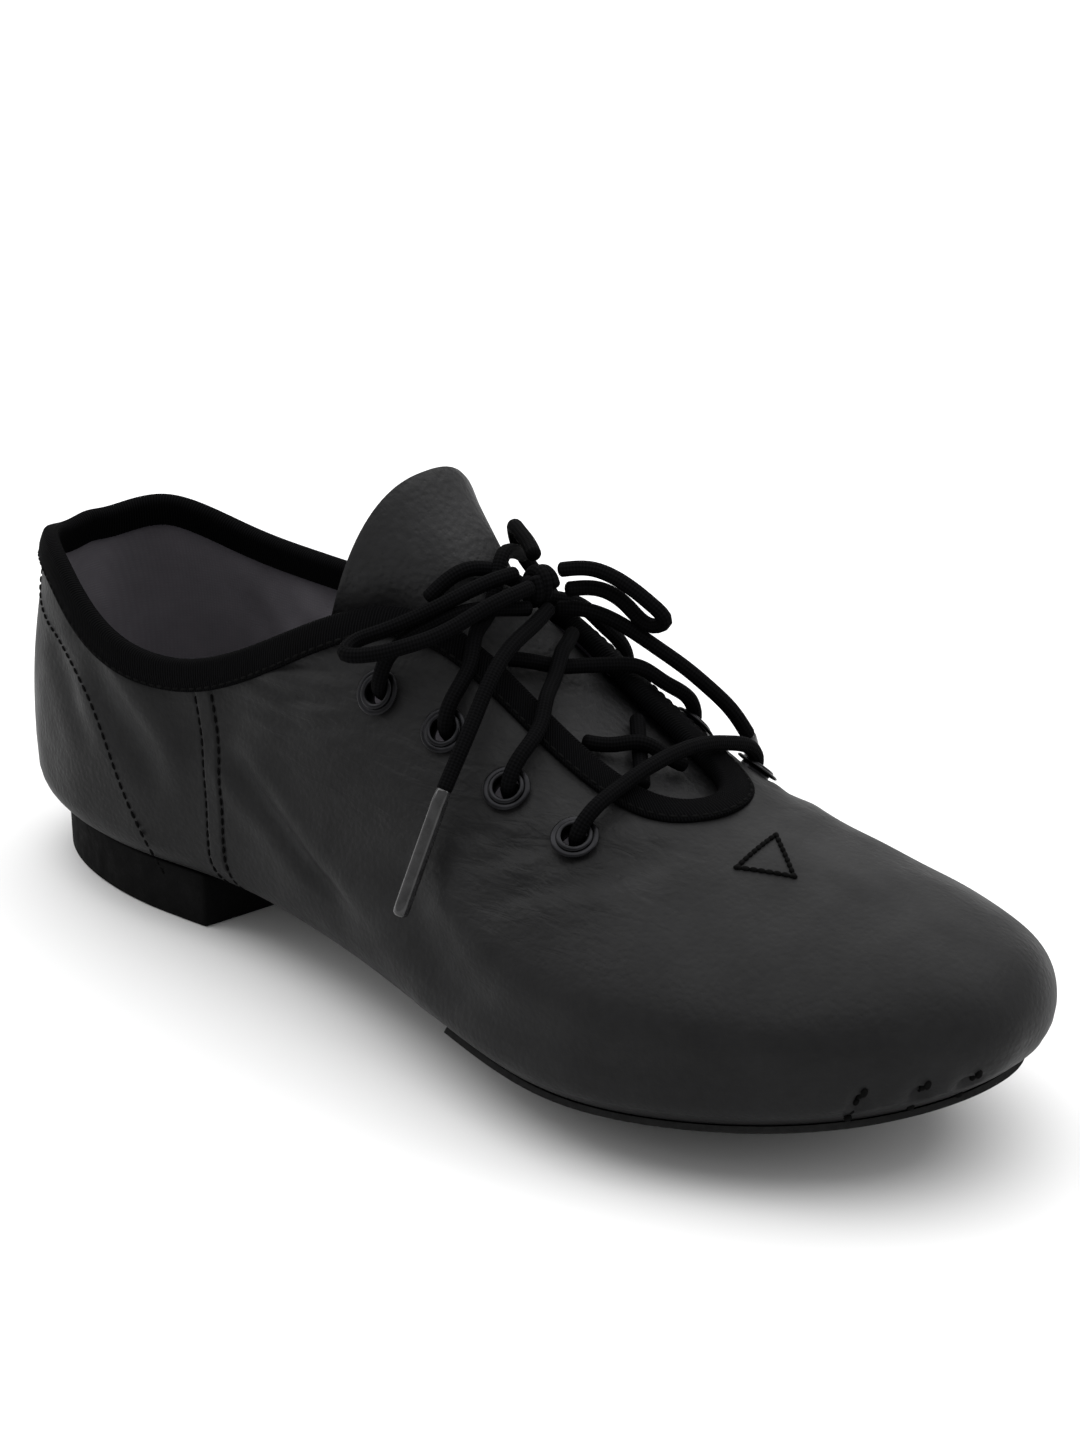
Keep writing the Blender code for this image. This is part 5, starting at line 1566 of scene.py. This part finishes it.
class StitchesOperator(bpy.types.Operator):
    """Sew the side seams, counter seams and binding, the tack under the throat and the toe's gathers"""

    bl_idname = "jazz_shoe.stitches"
    bl_label = "Stitches"

    def lines(self):
        shape = ribs(sizes().ribs_per_side, SEAM_STEP)
        found = []
        height = sizes().thread_width * 0.15
        for side in (-1, 1):
            own = np.where(shape.side == side)[0]
            for off in (-SEAM_WIDTH / 2, SEAM_WIDTH / 2):
                i = own[np.argmin(np.abs(shape.rim_x[own] - SEAM_PLACE - off))]
                keep = shape.wall_length[i] > BINDING_WIDTH * 1.25
                route, facing = shape.wall[i][keep], shape.wall_normal[i][keep]
                low = shape.inset[i] < SOLE_INSET * 2
                route = np.concatenate([route, shape.under[i][low][1:]])
                facing = np.concatenate([facing, shape.under_normal[i][low][1:]])
                found.append((self.laid_down(route, facing, height - 0.0001), facing))
        skin, normals = stack([shape.down_wall(BINDING_WIDTH, (k + 1) / 60) for k in range(60)])
        for side in (-1, 1):
            line = smooth_route([(x, -side * y, z) for x, y, z in COUNTER_SEAM], COUNTER_STEP)
            found.append(self.on_skin(line, skin, normals, height))
        rim_seam = shape.from_rim(BINDING_WIDTH - RIM_SEAM_INSET)
        route, facing = (np.concatenate([row, row[:1]]) for row in rim_seam)
        found.append((route + facing * (CLEARANCE + BINDING_THICKNESS + height), facing))
        return found

    def on_skin(self, line, skin, normals, height):
        """A line brought down to the leather's nearest points, with the way they face."""
        near = ((line[:, None] - skin[None]) ** 2).sum(axis=2).argmin(axis=1)
        foot = ((line - skin[near]) * normals[near]).sum(axis=1)[:, None]
        return self.laid_down(line - normals[near] * foot, normals[near], height), normals[near]

    def laid_down(self, route, facing, height):
        """A seam's line on the leather as its folds and creases leave it."""
        moved = soft_swell(route) - crease_depth(route) * sizes().crease_scale
        return route + facing * (moved + height)[:, None]

    def tack(self):
        """Sides of the bold stitched triangle under the throat."""
        found = []
        corners = TACK_CORNERS + TACK_CORNERS[:1]
        for (x0, y0), (x1, y1) in zip(corners[:-1], corners[1:]):
            made = [lifted(x0 + (x1 - x0) * t, y0 + (y1 - y0) * t, 0.0) for t in np.linspace(0.02, 0.98, 8)]
            facing = np.array([tuple(n) for _, n in made])
            found.append((self.laid_down(np.array([tuple(p) for p, _ in made]), facing, 0.0002), facing))
        return found

    def gathers(self):
        """Short bold stitches that gather the leather into its toe pleats."""
        shape = ribs(sizes().ribs_per_side, SEAM_STEP)
        skin, normals = stack([shape.down_wall(BINDING_WIDTH, 0.7 + 0.3 * k / 30) for k in range(31)]
                              + [shape.under_foot(0.0003 * k) for k in range(1, 12)])
        found = []
        for name in sorted(CREASES):
            if name.startswith("toe pleat"):
                line = smooth_route(CREASES[name][2], ROUTE_STEP)
                found.append(self.on_skin(line, skin, normals, 0.0001))
        return found

    def sew(self, name, lines, pitch, share, thread):
        points, outward, edges = [], [], []
        for route, facing in lines:
            start = len(points)
            points += list(route)
            outward += list(facing)
            edges += [(start + k, start + k + 1) for k in range(len(route) - 1)]
        made = run_tree(name, points, edges, outward, stitch_tree(), {
            "Pitch": pitch, "Stitch": pitch * share, "Thread": thread, "Finish": finish("thread")})
        settle(made, "cord")

    def execute(self, context):
        self.sew("seam_stitches", self.lines(), sizes().stitch_pitch, SEAM_SHARE, sizes().thread_width)
        self.sew("tack_stitches", self.tack(), TACK_PITCH, TACK_SHARE, TACK_THREAD)
        self.sew("toe_gathers", self.gathers(), GATHER_PITCH, GATHER_SHARE, GATHER_THREAD)
        return {"FINISHED"}


class LacingOperator(bpy.types.Operator):
    """Lace the shoe through its eyelets up to the knot"""

    bl_idname = "jazz_shoe.lacing"
    bl_label = "Lacing"

    def execute(self, context):
        radius = LACE_DIAMETER / 2
        low = EYELET_ROWS - 1
        bar = smooth_route(over_edge(low, -1) + over_edge(low, 1)[::-1], ROUTE_STEP)
        settle(tube("lace_bar_cord", bar, radius, finish("cord")), "cord", "lace_bar")
        under, over = weave(inside_strand(low, -1), inside_strand(low, 1), INSIDE_DROP)
        self.pair("lace_crossing_cord_1", under, over, "lace_crossing_1")
        for row in range(low - 1, 0, -1):
            level = low - row + 1
            under, over = crossing_strand(row, 1), crossing_strand(row, -1)
            under, over = weave(under, over, CROSSING_DROP)
            self.pair("lace_crossing_cord_%d" % level, under, over, "lace_crossing_%d" % level)
        for word, side, route in (("outer", -1, OUTER_TIE), ("inner", 1, INNER_TIE)):
            points = [Vector(p) for p in route]
            start = out_of_eyelet(0, side, points[0])
            strand = smooth_route(start + points, ROUTE_STEP)
            settle(tube("lace_tie_cord_" + word, strand, radius, finish("cord")), "cord", "lace_tie_" + word)
        return {"FINISHED"}

    def pair(self, name, under, over, node):
        strands = [tube(name + word, route, LACE_DIAMETER / 2, finish("cord"))
                   for word, route in (("_low", under), ("_high", over))]
        settle(joined(name, strands), "cord", node)


class BowOperator(bpy.types.Operator):
    """Tie the bow: knot, two loops and two ends with clear tips"""

    bl_idname = "jazz_shoe.bow"
    bl_label = "Bow"

    def execute(self, context):
        settle(self.knot(), "cord", "lace_knot")
        for name, route in LOOP_ROUTES.items():
            self.free_cord(name, route, far_end="object", lay="loose")
        for name, route in END_ROUTES.items():
            word = name.rsplit("_", 1)[1]
            tip = self.tip("lace_tip_film_" + word, TIP_ROUTES["lace_tip_" + word])
            settle(tip, "clear_tip", "lace_tip_" + word)
            self.free_cord(name, route, far_end="fitting", lay="hanging", with_pieces=[tip])
        return {"FINISHED"}

    def free_cord(self, name, route, far_end, lay, with_pieces=()):
        """A part of the bow that hangs free, drawn as a cord and given to the frame."""
        path = smooth_route(route, ROUTE_STEP)
        made = tube(name + "_cord", path, LACE_DIAMETER / 2, finish("cord"))
        settle(made, "cord", name)

    def tip(self, name, route):
        """Clear film over the cord's end, pinched a little at its mouth."""
        path = np.linspace(route[0], route[1], 26)

        def taper(share):
            return 1 - 0.10 * np.exp(-(share / 0.04) ** 2) - 0.05 * np.exp(-((share - 1) / 0.03) ** 2)

        return tube(name, path, (LACE_DIAMETER + TIP_FILM) / 2, finish("tip"), sides=20, taper=taper)

    def knot(self):
        """The knot: two turns of the cord wrapped round the crossing strands, over a core."""
        centre = np.array(KNOT_PLACE)
        turn = np.linspace(-0.25 * math.pi, 3.9 * math.pi, 80)
        axis = unit(np.array(KNOT_LEAN))
        first = unit(np.cross(axis, (0, 0, 1)))
        second = np.cross(axis, first)
        wide = KNOT_RADIUS + 0.0002 * np.sin(turn * 1.5)
        route = (centre + first * (np.cos(turn) * wide)[:, None]
                 + second * (np.sin(turn) * wide * 1.08)[:, None]
                 + axis * ((turn / turn[-1] - 0.45) * KNOT_LENGTH)[:, None])
        wrap = tube("knot_wrap", route, LACE_DIAMETER / 2, finish("cord"))
        middle = centre + axis * np.linspace(-0.0022, 0.0022, 6)[:, None]
        core = tube("knot_core", middle, KNOT_CORE, finish("cord"))
        return joined("lace_knot_cord", [wrap, core])


class StageOperator(bpy.types.Operator):
    """Set the pale floor, the studio light and the camera"""

    bl_idname = "jazz_shoe.stage"
    bl_label = "Stage"

    def softbox(self, name, place):
        data = bpy.data.lights.new(name, "AREA")
        data.shape, data.energy = "RECTANGLE", SOFTBOX_POWER
        data.size, data.size_y = SOFTBOX_SIZE
        made = linked(name, data)
        made.location = place
        made.rotation_euler = (Vector(place) - SOFTBOX_AIM).to_track_quat("Z", "Y").to_euler()

    def execute(self, context):
        half = sizes().floor_size / 2
        mesh = bpy.data.meshes.new("floor")
        corners = [(-half, -half, 0), (half, -half, 0), (half, half, 0), (-half, half, 0)]
        mesh.from_pydata(corners, [], [(0, 1, 2, 3)])
        mesh.materials.append(finish("floor"))
        linked("floor", mesh)
        sky = bpy.data.lights.new("overhead light", "SUN")
        sky.energy, sky.angle = SUN_POWER, SUN_ANGLE
        linked("overhead light", sky).rotation_euler = SUN_FROM.to_track_quat("Z", "Y").to_euler()
        for name, place in SOFTBOXES.items():
            self.softbox(name, place)
        world = bpy.data.worlds.new("studio")
        world.use_nodes = True
        room = world.node_tree.nodes["Background"].inputs
        room["Color"].default_value = (1, 1, 1, 1)
        room["Strength"].default_value = ROOM_LIGHT
        context.scene.world = world
        context.scene.view_settings.view_transform = "Standard"
        self.camera(context)
        return {"FINISHED"}

    def camera(self, context):
        data = bpy.data.cameras.new("camera")
        data.lens, data.sensor_width, data.sensor_fit = CAMERA_LENS, 36.0, "AUTO"
        data.shift_x, data.shift_y = CAMERA_SHIFT
        data.clip_start, data.clip_end = 0.05, 50
        made = linked("camera", data)
        level = math.cos(CAMERA_ELEVATION)
        back = Vector((math.sin(CAMERA_AZIMUTH) * level, -math.cos(CAMERA_AZIMUTH) * level,
                       math.sin(CAMERA_ELEVATION)))
        right = Vector((math.cos(CAMERA_AZIMUTH), math.sin(CAMERA_AZIMUTH), 0.0))
        up = back.cross(right)
        x = right * math.cos(CAMERA_ROLL) - up * math.sin(CAMERA_ROLL)
        y = right * math.sin(CAMERA_ROLL) + up * math.cos(CAMERA_ROLL)
        matrix = Matrix((x, y, back)).transposed().to_4x4()
        matrix.translation = CAMERA_TARGET + back * CAMERA_DISTANCE
        made.matrix_world = matrix
        context.scene.camera = made


OPERATORS = (StageOperator, LacingOperator, BowOperator, UpperOperator, BindingOperator, TongueOperator,
             InsoleOperator, ForefootSoleOperator, HeelOperator, EyeletsOperator, StitchesOperator)


class JazzShoePanel(bpy.types.Panel):
    """Lists the shoe's pieces, with their sizes and colours."""

    bl_idname = "VIEW3D_PT_jazz_shoe"
    bl_label = "Jazz Shoe"
    bl_space_type = "VIEW_3D"
    bl_region_type = "UI"
    bl_category = "Jazz Shoe"

    def draw(self, context):
        for maker in OPERATORS:
            self.layout.operator(maker.bl_idname)
        for group in (context.scene.jazz_shoe_sizes, context.scene.jazz_shoe_colours):
            for name in group.__annotations__:
                self.layout.prop(group, name)


CLASSES = (JazzShoeSizes, JazzShoeColours, *OPERATORS, JazzShoePanel)


def register():
    for made in CLASSES:
        bpy.utils.register_class(made)
    bpy.types.Scene.jazz_shoe_sizes = PointerProperty(type=JazzShoeSizes)
    bpy.types.Scene.jazz_shoe_colours = PointerProperty(type=JazzShoeColours)


def unregister():
    del bpy.types.Scene.jazz_shoe_colours
    del bpy.types.Scene.jazz_shoe_sizes
    for made in reversed(CLASSES):
        bpy.utils.unregister_class(made)


def main():
    register()
    for maker in OPERATORS:
        group, name = maker.bl_idname.split(".")
        getattr(getattr(bpy.ops, group), name)()


if __name__ == "__main__":
    main()
